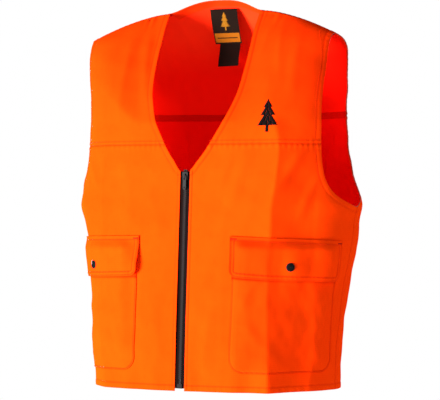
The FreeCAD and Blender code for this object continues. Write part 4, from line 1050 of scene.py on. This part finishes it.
# ---------------------------------------------------------------- back panel
def back_lower():
    xa, za = arm_line(True, 1, n=500)
    top = float(np.interp(185.0, -za, xa))
    keep = za < YOKE_B
    xa, za = xa[keep][::-1], za[keep][::-1]
    zs = np.linspace(HEM, -345.0, 200)
    zo = np.concatenate([zs, za[1:], [YOKE_B]])
    ao = np.concatenate([np.full(200, SIDE), ang_of_x(xa, za, True)[1:],
                         [float(ang_of_x(np.array(top), np.array(YOKE_B), True))]])
    Po = at_ang(ao, zo, True)
    acc = np.concatenate([[0], np.cumsum(np.linalg.norm(np.diff(Po, axis=0), axis=1))])
    s = steps(acc[-1], 1.5, 3.6, 13)
    s = np.unique(np.concatenate([s, [10.5 / acc[-1]]]))
    z_out, a_out = np.interp(s * acc[-1], acc, zo), np.interp(s * acc[-1], acc, ao)
    z_mid = HEM + (YOKE_B - HEM) * s
    u = steps(540, 1.5, 3.8, 13)[None, :] * 2 - 1
    z = z_mid[:, None] + (z_out - z_mid)[:, None] * np.abs(u) ** 2.2
    ang = a_out[:, None] * u
    P = at_ang(ang, z, True)
    for _ in range(2):
        seg = np.concatenate([np.zeros((len(s), 1)),
                              np.cumsum(np.linalg.norm(np.diff(P, axis=1), axis=-1), axis=1)], 1)
        want = (u + 1) / 2 * seg[:, -1:]
        ang = np.array([np.interp(want[i], seg[i], ang[i]) for i in range(len(s))])
        P = at_ang(ang, z, True)
    return P


P = back_lower()
cloth_piece("back_lower", P, grid_normals(P, True), True, replaces=("back_panel",), hem=True)


# ------------------------------------------------------------------- facings
def strip(lines, back):
    """Facing strip: lines are rows of (x, z) from the edge inwards."""
    P = np.stack([at_x(x, z, back) for x, z in lines])
    N = np.stack([fold_normals(at_x, x, z, back)[1] for x, z in lines])
    return P, N


FACE_OFF = (-0.62, -1.25)
for side, word in ((1, "left"), (-1, "right")):
    # armhole: front and back strips
    for back in (False, True):
        rows = []
        for g in (0.25, 2.2, 5.0, 8.0, 10.6):
            x, z = arm_line(back, side, g, 240)
            z = np.minimum(z, ridge_z(x, back) - 0.1)
            rows.append((x, z))
        P, N = strip(rows, back)
        o = cloth_piece("armhole_facing_%s_%s" % ("back" if back else "front", word), P, N, back,
                        off=FACE_OFF, mats=[FACING, FACING], micro=False,
                        extra=0.12 * np.sin(np.arange(240) / 5.0)[None, :] * np.ones((5, 1)))
    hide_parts("armhole_facing_" + word)
    ring = []
    for back in (False, True):
        x, z = arm_line(back, side, 0.0, 300)
        z = np.minimum(z, ridge_z(x, back) - 0.2)
        Pe, Ne = draped(at_x, x, z, back)
        ring.append((Pe - 0.5 * Ne, Ne))
    Pe = np.concatenate([ring[0][0][:-1], ring[1][0][::-1]])[2:-2]
    Ne = np.concatenate([ring[0][1][:-1], ring[1][1][::-1]])[2:-2]
    rr = 0.50 + 0.07 * np.sin(np.arange(len(Pe)) * 1.9)
    tubes("armhole_edging_" + word, Pe[None], Ne[None], rr[None], EDGE, flat=0.95)
    # neck, front
    z = np.concatenate([np.linspace(-268, -200, 60)[:-1], np.linspace(-200, -0.4, 170)])
    c = np.stack([neck_front(side, z) + SHIFT(z), z], 1)
    rows = []
    for g in (0.25, 2.5, 5.5, 8.5, 10.6):
        k = slid(c, -side * g)
        zz = np.minimum(k[:, 1], -0.4)
        rows.append((k[:, 0] - SHIFT(zz), zz))
    P, N = strip(rows, False)
    cloth_piece("neck_facing_front_" + word, P, N, False, off=FACE_OFF, mats=[FACING, FACING],
                micro=False, replaces=("neck_facing_" + word,))
x = np.linspace(-88.9, 88.9, 170)
_t = ease((88.9 - np.abs(x)) / 7.0) * 0.9 + 0.1
rows = [(x, ridge_z(x, True) - 0.15 - d * _t) for d in (0.0, 1.45, 3.65, 6.25, 8.85)]
P, N = strip(rows, True)
cloth_piece("neck_facing_rear", P, N, True, off=FACE_OFF, mats=[FACING, FACING], micro=False,
            replaces=("neck_facing_back",))


# ------------------------------------------------------------------- pockets
def bag_puff(arc, z):
    return ease((arc - 91) / 34) * ease((291 - arc) / 34) * ease((z + 630) / 50)


def bag_less(side, arc, z):
    """Where the bag hangs closer to the front."""
    if side < 0:
        return 4.2 * ease((arc - 198) / 22) * bag_puff(arc, z)
    return 4.0 * ease((arc - 106) / 46) * ease((-440 - z) / 30) * bag_puff(arc, z)


def shelf(side, P, arc, z):
    """The left pocket stands proud beside the pressed fold and hides its inner flank."""
    if side < 0:
        return np.zeros_like(arc)
    s = np.minimum((P[..., 0] - CREASE[0][1](z)) * 1.35, 0)
    return 6.6 * (1 - np.exp(s / 27.0)) * ease((arc - 91) / 15) * ease((-399 - z) / 16)


def flap_puff(arc, z):
    return ease((arc - 91) / 28) * ease((291 - arc) / 28) * ease((-399 - z) / 20)


def pocket_pts(side, arc, z):
    a = arc_ang(arc.ravel(), z.ravel()) * side
    P, N = fold_normals(at_ang, a, z.ravel(), False)
    return P.reshape(*arc.shape, 3), N.reshape(*arc.shape, 3)


def inset_round(u, v, w, h, r, low=True):
    """Rounds the lower corners of a w by h rectangle: arc and height."""
    s, t = u * w, v * h                      # t from the top down
    k = np.clip((t - (h - r)) / r, 0, 1)
    pull = r * (1 - np.sqrt(np.clip(1 - k * k, 0, 1)))
    return pull


def rounded_grid(arc0, arc1, top, low, r, nu=90, nv=70):
    """Rows from the top down; the lower corners are rounded by drawing both
    ends of the last rows in."""
    u = steps(nu * 2.4, 1.3, 3.0, 12)[None, :]
    tt = steps(nv * 2.4, 1.3, 3.0, 12)
    # rows crowd towards the bottom so that the corner stays round
    h = float(np.mean(top) - np.mean(low))
    t = tt * h
    m = t > h - r
    extra = np.arange(34.0, 54.0, 1.3) if h > 120 else np.array([])
    t = np.unique(np.concatenate([t[~m], extra, h - r + r * np.sin(np.linspace(0, math.pi / 2, 17))]))
    k = np.clip((t - (h - r)) / r, 0, 1)
    pull = r * (1 - np.sqrt(np.clip(1 - k * k, 0, 1)))
    arc = arc0 + pull[:, None] + (arc1 - arc0 - 2 * pull[:, None]) * u
    v = (t / h)[:, None] * np.ones_like(u)
    uu = (arc - arc0) / (arc1 - arc0)
    return arc, uu, v


FLAP = {}
for side, word in ((1, "left"), (-1, "right")):
    # bag
    arc, uu, v = rounded_grid(91.0, 291.0, -426.0, -630.0, 26.0)
    z = -426.0 - 204.0 * v
    P, N = pocket_pts(side, arc, z)
    edge = np.minimum(np.minimum(arc - 91, 291 - arc), z + 630)
    corner = np.hypot(np.clip(117 - arc, 0, None), np.clip(-604 - z, 0, None))
    corner2 = np.hypot(np.clip(arc - 265, 0, None), np.clip(-604 - z, 0, None))
    both = (z < -604) & ((arc < 117) | (arc > 265))
    edge = np.where(both, 26 - np.maximum(corner, corner2), edge)
    edge = np.clip(edge, 0, None)
    puff = 1.3 + 6.6 * bag_puff(arc, z)
    puff -= bag_less(side, arc, z)
    puff += shelf(side, P, arc, z) * ease((z + 630) / 30)
    # painted shadow: a dark band on the bag just below the flap's lower edge
    ulow = -464.5 - (9.0 if side > 0 else 3.0) * (arc - 87) / 208.0
    flap_shadow_paint = np.exp(-((z - ulow + 1.2) / 2.6) ** 2)
    q = P.reshape(-1, 3)
    wob = (0.5 * waves(q, 41 + side, 42) + 0.22 * waves(q, 45 + side, 17)).reshape(arc.shape)
    snap = np.exp(-((arc - 189.5) ** 2 + (z + 446) ** 2) / 24.0 ** 2)
    wob = wob * ease(edge / 30) * (1 - snap)
    # shallow drag folds from the corners
    wob += 0.9 * np.exp(-(((arc - 130) * 0.75 + (z + 560) * 0.66) / 9) ** 2) * ease(edge / 30)
    wob += 0.8 * np.exp(-(((arc - 250) * 0.8 - (z + 556) * 0.6) / 9) ** 2) * ease(edge / 30)
    st = np.exp(-((edge - 2.6) / 0.9) ** 2)
    lip = 0.35 * np.sqrt(np.clip(1 - ((edge - 1.2) / 1.6) ** 2, 0, 1)) - 0.28 * st
    pk = 0.16 * np.sin((arc + z) / 1.45) * np.exp(-((edge - 4) / 4.5) ** 2)
    # painted shade in the stitch groove and along the bag's edge, plus the painted shadow under the flap
    shade_paint = 0.85 * st + 0.8 * np.exp(-(edge / 0.9) ** 2) + 1.0 * flap_shadow_paint
    if side > 0:        # painted shade: the left pocket is darkened on the zip side of the first pressed fold
        shade_paint = shade_paint + 0.42 * ease((CREASE[0][1](z) + 3 - P[..., 0]) / 5) * ease(edge / 10)
    cloth_piece("pocket_" + word, P, N, False, off=(0.5, -0.5), micro=False,
                extra=puff + wob + lip + pk, seam=shade_paint, replaces=("pocket_bag_" + word,),
                sheet=["front_" + word])
    # its stitching
    for d in (2.6,):
        t1 = np.linspace(-432, -604, 120)
        fi = np.linspace(0, math.pi / 2, 30)
        a = np.concatenate([np.full(120, 91 + d), 117 - (26 - d) * np.cos(fi),
                            np.linspace(117, 265, 100), 265 + (26 - d) * np.sin(fi),
                            np.full(120, 291 - d)])
        zz = np.concatenate([t1, -604 - (26 - d) * np.sin(fi), np.full(100, -630 + d),
                             -604 - (26 - d) * np.cos(fi), t1[::-1]])
        P, N = pocket_pts(side, a, zz)
        D = drape(P, False)
        stitch_line("shell", P + N * D[:, None], N,
                    1.3 + 6.6 * bag_puff(a, zz) - bag_less(side, a, zz) + 0.52
                    + shelf(side, P, a, zz) * ease((zz + 630) / 30), 2.9)

    # flap
    tilt = 9.0 if side > 0 else 3.0
    arc, uu, v = rounded_grid(87.0, 295.0, -395.0, -464.5, 13.0, 92, 30)
    top = -395.0 - tilt * uu
    low = -464.5 - tilt * uu - 1.5 * np.sin(math.pi * uu)
    z = top + (low - top) * v
    P, N = pocket_pts(side, arc, z)
    down = (top - z)
    edge = np.minimum(np.minimum(arc - 87, 295 - arc), z - low)
    both = (down > (top - low) - 13) & ((arc < 100) | (arc > 282))
    cx = np.where(arc < 190, np.clip(100 - arc, 0, None), np.clip(arc - 282, 0, None))
    cz = np.clip(low + 13 - z, 0, None)
    edge = np.where(both, 13 - np.hypot(cx, cz), edge)
    edge = np.clip(edge, 0, None)
    snap = np.exp(-((arc - 189.5) ** 2 + (z + 446) ** 2) / 17.0 ** 2)
    base = 2.8 + 8.85 * flap_puff(arc, z) + shelf(side, P, arc, z)
    lift = np.zeros_like(arc)
    if side < 0:
        lift = 8.0 * np.exp(-((arc - 87) / 27) ** 2) * ease((-405 - z) / 46)
        lift -= 4.6 * ease((arc - 198) / 22) * ease((-399 - z) / 20) * ease((291 - arc) / 28)
    else:
        lift = 2.6 * np.exp(-((arc - 87) / 22) ** 2) * ease((-405 - z) / 46)
        lift += 2.2 * np.exp(-((295 - arc) / 24) ** 2) * ease((-405 - z) / 46)
    q = P.reshape(-1, 3)
    wob = (0.45 * waves(q, 61 + side, 60) + 0.16 * waves(q, 65 + side, 18)).reshape(arc.shape)
    wob = wob * (1 - snap) * ease(down / 12)
    dimple = -0.0 * snap
    s1 = np.exp(-((edge - 2.4) / 0.9) ** 2) * (down > 2)
    s2 = np.exp(-((edge - 8.0) / 0.95) ** 2) * (down > 7)
    s3 = np.exp(-((down - 6.5) / 0.95) ** 2)
    roll = 0.45 * np.sqrt(np.clip(1 - ((edge - 5.2) / 3.4) ** 2, 0, 1)) * (down > 6)
    # painted shade in the flap's stitch grooves and along its edge
    shade_paint = 0.75 * s1 + 0.75 * s2 + 0.5 * s3 + 0.4 * np.exp(-(edge / 0.8) ** 2)
    pucker = np.sin(2 * math.pi * arc / 7.6 + 1.6 * np.sin(arc / 21.0)) * ease((down - 30) / 20)
    roll = roll + 0.26 * pucker * np.exp(-((edge - 6.0) / 5.0) ** 2)
    # painted shade in the puckers of the lower stitched edge
    shade_paint = shade_paint + 0.25 * np.clip(pucker, 0, 1) * np.exp(-((edge - 8.0) / 3.0) ** 2)
    # painted shade: the left flap is darkened on the zip side of the first pressed fold
    if side > 0:
        shade_paint = shade_paint + 0.58 * ease((CREASE[0][1](z) + 3 - P[..., 0]) / 5)
    extra = base + lift + wob + dimple + roll - 0.30 * (s1 + s2) - 0.22 * s3
    tp = box_top = P[0]
    mid = P[0, P.shape[1] // 2] + N[0, P.shape[1] // 2] * 2.8
    e0 = mid + np.array([0, 0, -3.0])
    e1 = mid + np.array([0, 0, -24.0])
    bl = ("flap_" + word, tuple(e0 * MM), tuple(e1 * MM))
    FLAP[word] = bl
    cloth_piece("flap_cloth_" + word, P, N, False, off=(0.75, -0.75), micro=False, extra=extra,
                seam=shade_paint, replaces=("pocket_flap_" + word,), blend=bl, sheet=["pocket_" + word])

    def flap_off(a, zz):
        u = (a - 87) / 208.0
        lf = np.zeros_like(a)
        if side < 0:
            lf = 8.0 * np.exp(-((a - 87) / 27) ** 2) * ease((-405 - zz) / 46)
            lf -= 4.6 * ease((a - 198) / 22) * ease((-399 - zz) / 20) * ease((291 - a) / 28)
        else:
            lf = 2.6 * np.exp(-((a - 87) / 22) ** 2) * ease((-405 - zz) / 46)
            lf += 2.2 * np.exp(-((295 - a) / 24) ** 2) * ease((-405 - zz) / 46)
        qq, _ = pocket_pts(side, a, zz)
        sn = np.exp(-((a - 189.5) ** 2 + (zz + 446) ** 2) / 17.0 ** 2)
        wb = (0.45 * waves(qq, 61 + side, 60) + 0.16 * waves(qq, 65 + side, 18))
        wb = wb * (1 - sn) * ease((-395 - tilt * u - zz) / 12)
        return 2.8 + 8.85 * flap_puff(a, zz) + shelf(side, qq, a, zz) + lf + wb

    for d in (2.4, 8.0):
        r = max(13 - d, 3.0)
        c = 13.0 if d < 13 else d
        n1 = 50
        u0, u1 = d / 208.0, 1 - d / 208.0

        def lowz(a):
            u = (a - 87) / 208.0
            return -464.5 - tilt * u - 1.5 * np.sin(math.pi * u)

        def topz(a):
            return -395.0 - tilt * (a - 87) / 208.0
        fi = np.linspace(0, math.pi / 2, 18)
        aL, aR = 87 + d, 295 - d
        a = np.concatenate([np.full(n1, aL), 87 + d + r - r * np.cos(fi), np.linspace(aL + r, aR - r, 110),
                            aR - r + r * np.sin(fi), np.full(n1, aR)])
        zz = np.concatenate([np.linspace(topz(aL) - 6.5, lowz(aL) + d + r, n1),
                             lowz(aL + r) + d + r - r * np.sin(fi),
                             lowz(np.linspace(aL + r, aR - r, 110)) + d,
                             lowz(aR - r) + d + r - r * np.cos(fi),
                             np.linspace(lowz(aR) + d + r, topz(aR) - 6.5, n1)])
        P, N = pocket_pts(side, a, zz)
        D = drape(P, False)
        stitch_line("pocket_flap_" + word, P + N * D[:, None], N, flap_off(a, zz) + 0.75 + 0.05, 2.9)
    a = np.linspace(89.5, 292.5, 160)
    zz = topz(a) - 6.5
    P, N = pocket_pts(side, a, zz)
    D = drape(P, False)
    stitch_line("pocket_flap_" + word, P + N * D[:, None], N, flap_off(a, zz) + 0.75 + 0.1, 2.9)
    # bartacks at the ends of the flap seam
    tacks, tn = [], []
    for a0, a1 in ((88.0, 99.0), (283.0, 294.0)):
        for k in range(18):
            aa = np.full(4, a0 + (a1 - a0) * k / 17.0)
            z0 = topz(aa) - 3.2 - np.linspace(0, 2.0, 4)
            P, N = pocket_pts(side, aa, z0)
            D = drape(P, False)
            tacks.append(P + N * (D + flap_off(aa, z0) + 0.95)[:, None])
            tn.append(N)
    tubes("bartacks_" + word, np.array(tacks), np.array(tn), [0.2, 0.34, 0.34, 0.2], TACK,
          blend=FLAP[word])


# ----------------------------------------------------------------- stitching
for side, word in ((1, "left"), (-1, "right")):
    z = np.concatenate([np.linspace(-272, -200, 120)[:-1], np.linspace(-200, -4, 330)])
    c = np.stack([neck_front(side, z) + SHIFT(z), z], 1)
    k = slid(c, -side * 8.0)
    zz = np.minimum(k[:, 1], -0.6)
    P, N = draped(at_x, k[:, 0] - SHIFT(zz), zz, False)
    stitch_line("shell", P, N, 0.55)
    for back in (False, True):
        x, z = arm_line(back, side, 9.0, 520)
        m = z < ridge_z(x, back) - 0.8
        P, N = draped(at_x, x[m], z[m], back)
        stitch_line("shell", P, N, 0.55)
    # yoke seam, its second row and the shoulder seam
    xa = SEAMS["yoke_" + word][1].p
    n = len(xa)
    for dz in (1.3, 6.0):
        xs = np.linspace(xa[0, 0], xa[-1, 0], 300)
        zz = np.full(300, YOKE_F + dz)
        P, N = draped(at_x, xs - SHIFT(zz), zz, False)
        stitch_line("shell", P, N, 0.5)
    # zip
    z = np.linspace(-284, -656, 320)
    xs = zip_x(z) + side * (9.4 + 3.8) - SHIFT(z)
    P, N = draped(at_x, xs, z, False)
    stitch_line("shell", P, N, 0.5)
    # front hem
    a = np.linspace(0, 1, 420)
    z = np.full(420, HEM + 10.0)
    a0 = ang_of_x(zip_x(z) + side * 10.7 - SHIFT(z), z, False)
    P, N = draped(at_ang, a0 + (side * SIDE - a0) * a, z, False)
    stitch_line("shell", P, N, 0.5)
    # side seam topstitch, behind the seam
    z = np.linspace(-350, HEM + 2, 260)
    P, N = draped(at_ang, np.full(260, side * (SIDE - 0.021)), z, True)
    stitch_line("shell", P, N, 0.5)
    # shoulder topstitch, behind the ridge
    x = np.linspace(XN + 9, XT - 9, 160) * side
    z = ridge_z(x, True) - 1.4
    P, N = draped(at_x, x, z, True)
    stitch_line("shell", P, N, 0.5)
z = np.full(900, HEM + 10.0)
P, N = draped(at_ang, np.linspace(-SIDE, SIDE, 900), z, True)
stitch_line("shell", P, N, 0.5)
xb = SEAMS["yoke_back"][1].p
for dz in (1.3, 6.0):
    x = np.linspace(xb[0, 0] + 2, xb[-1, 0] - 2, 500)
    z = np.full(500, YOKE_B + dz)
    P, N = draped(at_x, x - SHIFT(z), z, True)
    stitch_line("shell", P, N, 0.5)
x = np.linspace(-80, 80, 200)
P, N = draped(at_x, x, ridge_z(x, True) - 6.2, True)
stitch_line("shell", P, N, 0.5)
for where, rows in STITCH.items():
    P = np.concatenate([r[0] for r in rows])
    N = np.concatenate([r[1] for r in rows])
    tubes("stitching_" + where, P, N, [0.16, 0.36, 0.36, 0.16], THREAD,
          blend=FLAP[where.split("_")[-1]] if where != "shell" else None)

# ----------------------------------------------------------------- zip tapes
for side, word in ((1, "left"), (-1, "right")):
    z = np.linspace(-283.5, -657.5, 190)
    u = np.array([0.35, 1.1, 1.9, 2.6, 3.2, 4.4, 6.0, 8.0, 10.0, 12.0, 14.0, 15.1])
    Z = z[:, None] + 0 * u[None]
    X = zip_x(Z) + side * u[None, :]
    Pm = at_x(X - SHIFT(Z), Z, False)
    ends = at_x(np.array([8.0, -2.5]) - SHIFT(np.array([-281.0, -658.0])), np.array([-281.0, -658.0]), False)
    run = at_x(zip_x(z) - SHIFT(z), z, False)
    t = (z + 281.0) / (-658.0 + 281.0)
    Pm[..., 1] += (ends[0, 1] + (ends[1, 1] - ends[0, 1]) * t - run[:, 1])[:, None]
    N = grid_normals(Pm, False)
    rib = 0.10 * np.sin(u / 0.55)[None, :] + 0 * Z
    cord = 0.28 * np.exp(-((u - 1.9) / 0.7) ** 2)[None, :] + 0 * Z
    cloth_piece("tape_" + word, Pm, N, False, off=(-0.88, -1.62), mats=[TAPE, TAPE], micro=False,
                with_drape=False, extra=-0.0 * rib, replaces=("zipper_tape_" + word,),
                sheet=["front_" + word])

# -------------------------------------------------------------------- emblem
TREE = [(0, 29), (7.5, 15), (4.6, 15), (12, 1), (6.5, 1), (16, -17), (2.6, -17), (2.6, -28)]
TREE = TREE + [(-x, y) for x, y in TREE[::-1][:-1]]


def spans(poly, y):
    xs = []
    for i in range(len(poly)):
        (x0, y0), (x1, y1) = poly[i], poly[(i + 1) % len(poly)]
        if (y0 - y) * (y1 - y) < 0:
            xs.append(x0 + (x1 - x0) * (y - y0) / (y1 - y0))
    xs.sort()
    return list(zip(xs[::2], xs[1::2]))


rows = []
for y in np.arange(-27.8, 28.9, 0.46):
    for x0, x1 in spans(TREE, y):
        w = x1 - x0
        k = max(1, int(math.ceil(w / 8.0)))
        for i in range(k):
            a, b = x0 + w * i / k, x0 + w * (i + 1) / k
            if b - a > 0.35:
                rows.append((a, b, y + rng.uniform(-0.05, 0.05)))
rows = np.array(rows)
t = np.linspace(0, 1, 5)
X = 151 + rows[:, :1] + (rows[:, 1:2] - rows[:, :1]) * t[None]
Z = -190 + rows[:, 2:3] + 0 * t[None] + 0.25 * np.sin(t * 3.0)[None]
P, N = fold_normals(at_x, X.ravel() - SHIFT(Z.ravel()), Z.ravel(), False)
h = drape(P, False)
P = (P + N * (h + 0.72)[:, None]).reshape(len(rows), 5, 3)
N = N.reshape(len(rows), 5, 3)
P = P + N * (0.42 * np.sin(np.pi * t))[None, :, None]
tubes("emblem_satin", P, N, [0.18, 0.31, 0.33, 0.31, 0.18], BLACK_THREAD, flat=0.9,
      replaces=("chest_emblem",))


# -------------------------------------------------------------------- labels
def label(name, nodes, width, nu, nv, front, mats, picker, bow=1.2, cad=None):
    lo, hi = [np.array(c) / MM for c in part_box(cad)]
    u = np.linspace(0, 1, nu)[None, :] + np.zeros((nv, 1))
    v = np.linspace(0, 1, nv)[:, None] + np.zeros((1, nu))
    P = front(lo, hi, u, v)
    du, dv = np.gradient(P, axis=1), np.gradient(P, axis=0)
    N = np.cross(du, dv)
    N /= np.linalg.norm(N, axis=-1)[..., None]
    N *= np.sign(-N[..., 1].mean())
    outer, inner = P + N * 0.24, P - N * 0.24
    verts, faces, index = slab_arrays(outer, inner, N)
    R, C = P.shape[:2]
    idx = np.zeros(len(faces))
    nq = (R - 1) * (C - 1)
    cu = ((u[:-1, :-1] + u[1:, 1:]) / 2).ravel()
    cv = ((v[:-1, :-1] + v[1:, 1:]) / 2).ravel()
    idx[:nq] = picker(cu, cv)
    uv = arcs(P).reshape(-1, 2)
    o = make(name, verts, faces, mats, idx, np.concatenate([uv, uv]), None)
    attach(o, "shell")
    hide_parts(cad)
    w = float(np.linalg.norm(np.diff(P, axis=1), axis=-1).sum(1).max()) * MM
    l = float(np.linalg.norm(np.diff(P, axis=0), axis=-1).sum(0).max()) * MM
    FLAT[name] = (round(w, 3), round(l, 3), round(area_of(P), 5))
    return P, N


def neck_front_face(lo, hi, u, v):
    x = lo[0] + (hi[0] - lo[0]) * u
    y = lo[1] + 0.6 + (hi[1] - lo[1] - 1.4) * v ** 1.05
    z = hi[2] - 0.4 + (lo[2] + 0.4 - hi[2] + 0.4) * v
    y = y + 1.3 * (2 * u - 1) ** 2 * v - 1.6 * np.sin(np.pi * v) + 0.9 * np.sin(3.1 * u + 1) * v
    return np.stack([x, y, z], -1)


def neck_pick(u, v):
    out = np.zeros(len(u))
    out[(v > 0.70) & (v < 0.965) & (u > 0.035) & (u < 0.965)] = 1     # strip
    out[(v > 0.825) & (v < 0.85) & (u > 0.12) & (u < 0.88)] = 0
    return out


LP, LN = label("neck_label_cloth", None, 52, 61, 73, neck_front_face, [LABEL, STRIP, GOLD], neck_pick,
               cad="neck_label")
# a plain conifer, woven in gold, above the strip
rows = []
for y in np.arange(-27.5, 28.6, 0.95):
    for x0, x1 in spans(TREE, y):
        if x1 - x0 > 0.8:
            rows.append((x0, x1, y))
rows = np.array(rows) * 0.60
t = np.linspace(0, 1, 5)


def on_label(x, z):
    """x, z in mm from the label's middle line and its top."""
    R, C = LP.shape[:2]
    u = np.clip(x / 52.0 + 0.5, 0, 1) * (C - 1)
    v = np.clip(z / 64.0, 0, 1) * (R - 1)
    i, j = np.clip(v.astype(int), 0, R - 2), np.clip(u.astype(int), 0, C - 2)
    fv, fu = (v - i)[..., None], (u - j)[..., None]

    def mixv(A):
        return ((1 - fv) * ((1 - fu) * A[i, j] + fu * A[i, j + 1])
                + fv * ((1 - fu) * A[i + 1, j] + fu * A[i + 1, j + 1]))
    return mixv(LP), mixv(LN)


X = rows[:, :1] + (rows[:, 1:2] - rows[:, :1]) * t[None]
Z = 22.5 - rows[:, 2:3] + 0 * t[None]
P, N = on_label(X, Z)
P = P + N * (0.30 + 0.12 * np.sin(np.pi * t))[None, :, None]
tubes("label_motif", P, N, [0.12, 0.26, 0.26, 0.26, 0.12], GOLD)
# label stitching along its top edge
X = np.concatenate([np.linspace(-24.4, 24.4, 60)])
P, N = on_label(X, np.full(60, 1.6))
f = along(P, 2.6)
tubes("label_stitching", pick(P, f) + pick(N, f) * np.array([0.05, 0.4, 0.4, 0.05])[None, :, None],
      pick(N, f), [0.12, 0.27, 0.27, 0.12], BLACK_THREAD)


def care_face(lo, hi, u, v):
    x = lo[0] + 0.3 + (hi[0] - lo[0] - 0.6) * u
    y = hi[1] - 2.0 - (hi[1] - lo[1] - 4.0) * ease(v) + 1.0 * np.sin(2.6 * u + 0.5) * v
    y = y - 1.2 * np.sin(np.pi * v) * (u - 0.3)
    z = hi[2] - 0.3 + (lo[2] - hi[2] + 0.6) * v + 1.4 * (u - 0.5) * v
    return np.stack([x, y, z], -1)


def care_pick(u, v):
    out = np.zeros(len(u))
    out[(v > 0.90) & (v < 0.93) & (u > 0.06) & (u < 0.94)] = 1
    return out


label("care_label_cloth", None, 41, 43, 49, care_face, [CARE, LABEL], care_pick, cad="care_label")

# ------------------------------------------------- CAD pieces, given materials
for name, o in NODES.items():
    if name.startswith("zipper_slider") or name.startswith("zipper_pull"):
        m = SLIDER
    elif name.startswith("zipper_tape"):
        continue
    elif name.startswith("zipper"):
        m = PLASTIC
    elif name.startswith("snap_cap"):
        m = SNAP
    elif name.startswith("snap"):
        m = BRASS
    else:
        continue
    o.data.materials.clear()
    o.data.materials.append(m)

# ---------------------------------------------------------------- the studio
bpy.ops.mesh.primitive_circle_add(vertices=96, radius=3.2, fill_type="NGON", location=(0, 0, -1.15))
floor = bpy.context.object
floor.name = "studio_floor"
floor.data.materials.append(FLOOR)
floor.visible_shadow = False
_z = np.linspace(-281, -150, 24)
_q = []
for side in (1, -1):
    Q = at_x(neck_front(side, _z) - side * 6.0, _z, False) + np.array([0, 16.0, 0])
    _q.append(Q if side > 0 else Q[::-1])
_q = np.concatenate(_q) * MM
me = bpy.data.meshes.new("studio_flag")
me.from_pydata(_q.tolist(), [], [(i, i + 1, 46 - i, 47 - i) for i in range(23)])
me.materials.append(BLACK_THREAD)
fl = bpy.data.objects.new("studio_flag_v", me)
bpy.context.scene.collection.objects.link(fl)
for vis in ("camera", "diffuse", "glossy", "transmission", "volume_scatter"):
    setattr(fl, "visible_" + vis, False)
# black flags in the armholes keep the key light off the inside of the vest
for side in (1, -1):
    v = []
    for back in (False, True):
        x, z = arm_line(back, side, 6.0, 40)
        Q = at_x(x, z, back) - np.array([side * 10.0, 0, 0])
        v.append(Q if not back else Q[::-1])
    Q = np.concatenate(v) * MM
    me = bpy.data.meshes.new("studio_flag")
    me.from_pydata([tuple(Q.mean(0))] + Q.tolist(), [],
                   [(0, i + 1, (i + 1) % len(Q) + 1) for i in range(len(Q))])
    me.materials.append(BLACK_THREAD)
    fl = bpy.data.objects.new("studio_flag", me)
    bpy.context.scene.collection.objects.link(fl)
    for vis in ("camera", "diffuse", "glossy", "transmission", "volume_scatter"):
        setattr(fl, "visible_" + vis, False)

world = bpy.data.worlds.new("studio")
bpy.context.scene.world = world
world.use_nodes = True
nt = world.node_tree
nt.nodes.clear()
out = nt.nodes.new("ShaderNodeOutputWorld")
mix = nt.nodes.new("ShaderNodeMixShader")
amb = nt.nodes.new("ShaderNodeBackground")
amb.inputs[0].default_value = (1, 1, 1, 1)
tcw = nt.nodes.new("ShaderNodeTexCoord")
sxyz = nt.nodes.new("ShaderNodeSeparateXYZ")
mrw = nt.nodes.new("ShaderNodeMapRange")
mrw.inputs[1].default_value, mrw.inputs[2].default_value = -0.1, 0.9
mrw.inputs[3].default_value, mrw.inputs[4].default_value = 0.56, 0.26
nt.links.new(tcw.outputs["Generated"], sxyz.inputs[0])
nt.links.new(sxyz.outputs[2], mrw.inputs[0])
nt.links.new(mrw.outputs[0], amb.inputs[1])
see = nt.nodes.new("ShaderNodeBackground")
see.inputs[0].default_value = (1, 1, 1, 1)
see.inputs[1].default_value = 1.0
lp = nt.nodes.new("ShaderNodeLightPath")
nt.links.new(lp.outputs["Is Camera Ray"], mix.inputs[0])
nt.links.new(amb.outputs[0], mix.inputs[1])
nt.links.new(see.outputs[0], mix.inputs[2])
nt.links.new(mix.outputs[0], out.inputs[0])


def sun(name, azimuth, elevation, strength, angle):
    """azimuth from straight in front of the vest towards the wearer's left."""
    d = bpy.data.lights.new(name, "SUN")
    d.energy, d.angle = strength, math.radians(angle)
    o = bpy.data.objects.new(name, d)
    a, e = math.radians(azimuth), math.radians(elevation)
    back = Vector((math.sin(a) * math.cos(e), -math.cos(a) * math.cos(e), math.sin(e)))
    o.rotation_mode = "QUATERNION"
    o.rotation_quaternion = (-back).to_track_quat("-Z", "Y")
    bpy.context.scene.collection.objects.link(o)
    return o


sun("key", -36, -14, 12.9, 30)
sun("side_fill", 96, 4, 0.7, 50)
sun("rear_fill", 234, 8, 8.0, 24)

cam_d = bpy.data.cameras.new("camera")
cam = bpy.data.objects.new("camera", cam_d)
bpy.context.scene.collection.objects.link(cam)
bpy.context.scene.camera = cam
cam_d.sensor_width = 36.0
cam_d.lens = 4.2 / 0.7832 * 36.0
cam_d.clip_start, cam_d.clip_end = 0.05, 60
a = math.radians(26)
target = Vector((0, 0, -0.333))
cam.location = target + Vector((math.sin(a), -math.cos(a), 0)) * 4.2
cam.rotation_mode = "QUATERNION"
cam.rotation_quaternion = (target - cam.location).to_track_quat("-Z", "Y")

bpy.context.scene.view_settings.view_transform = "Standard"
bpy.context.scene.view_settings.look = "None"

for k, v in FLAT.items():
    print("flat", k, v)
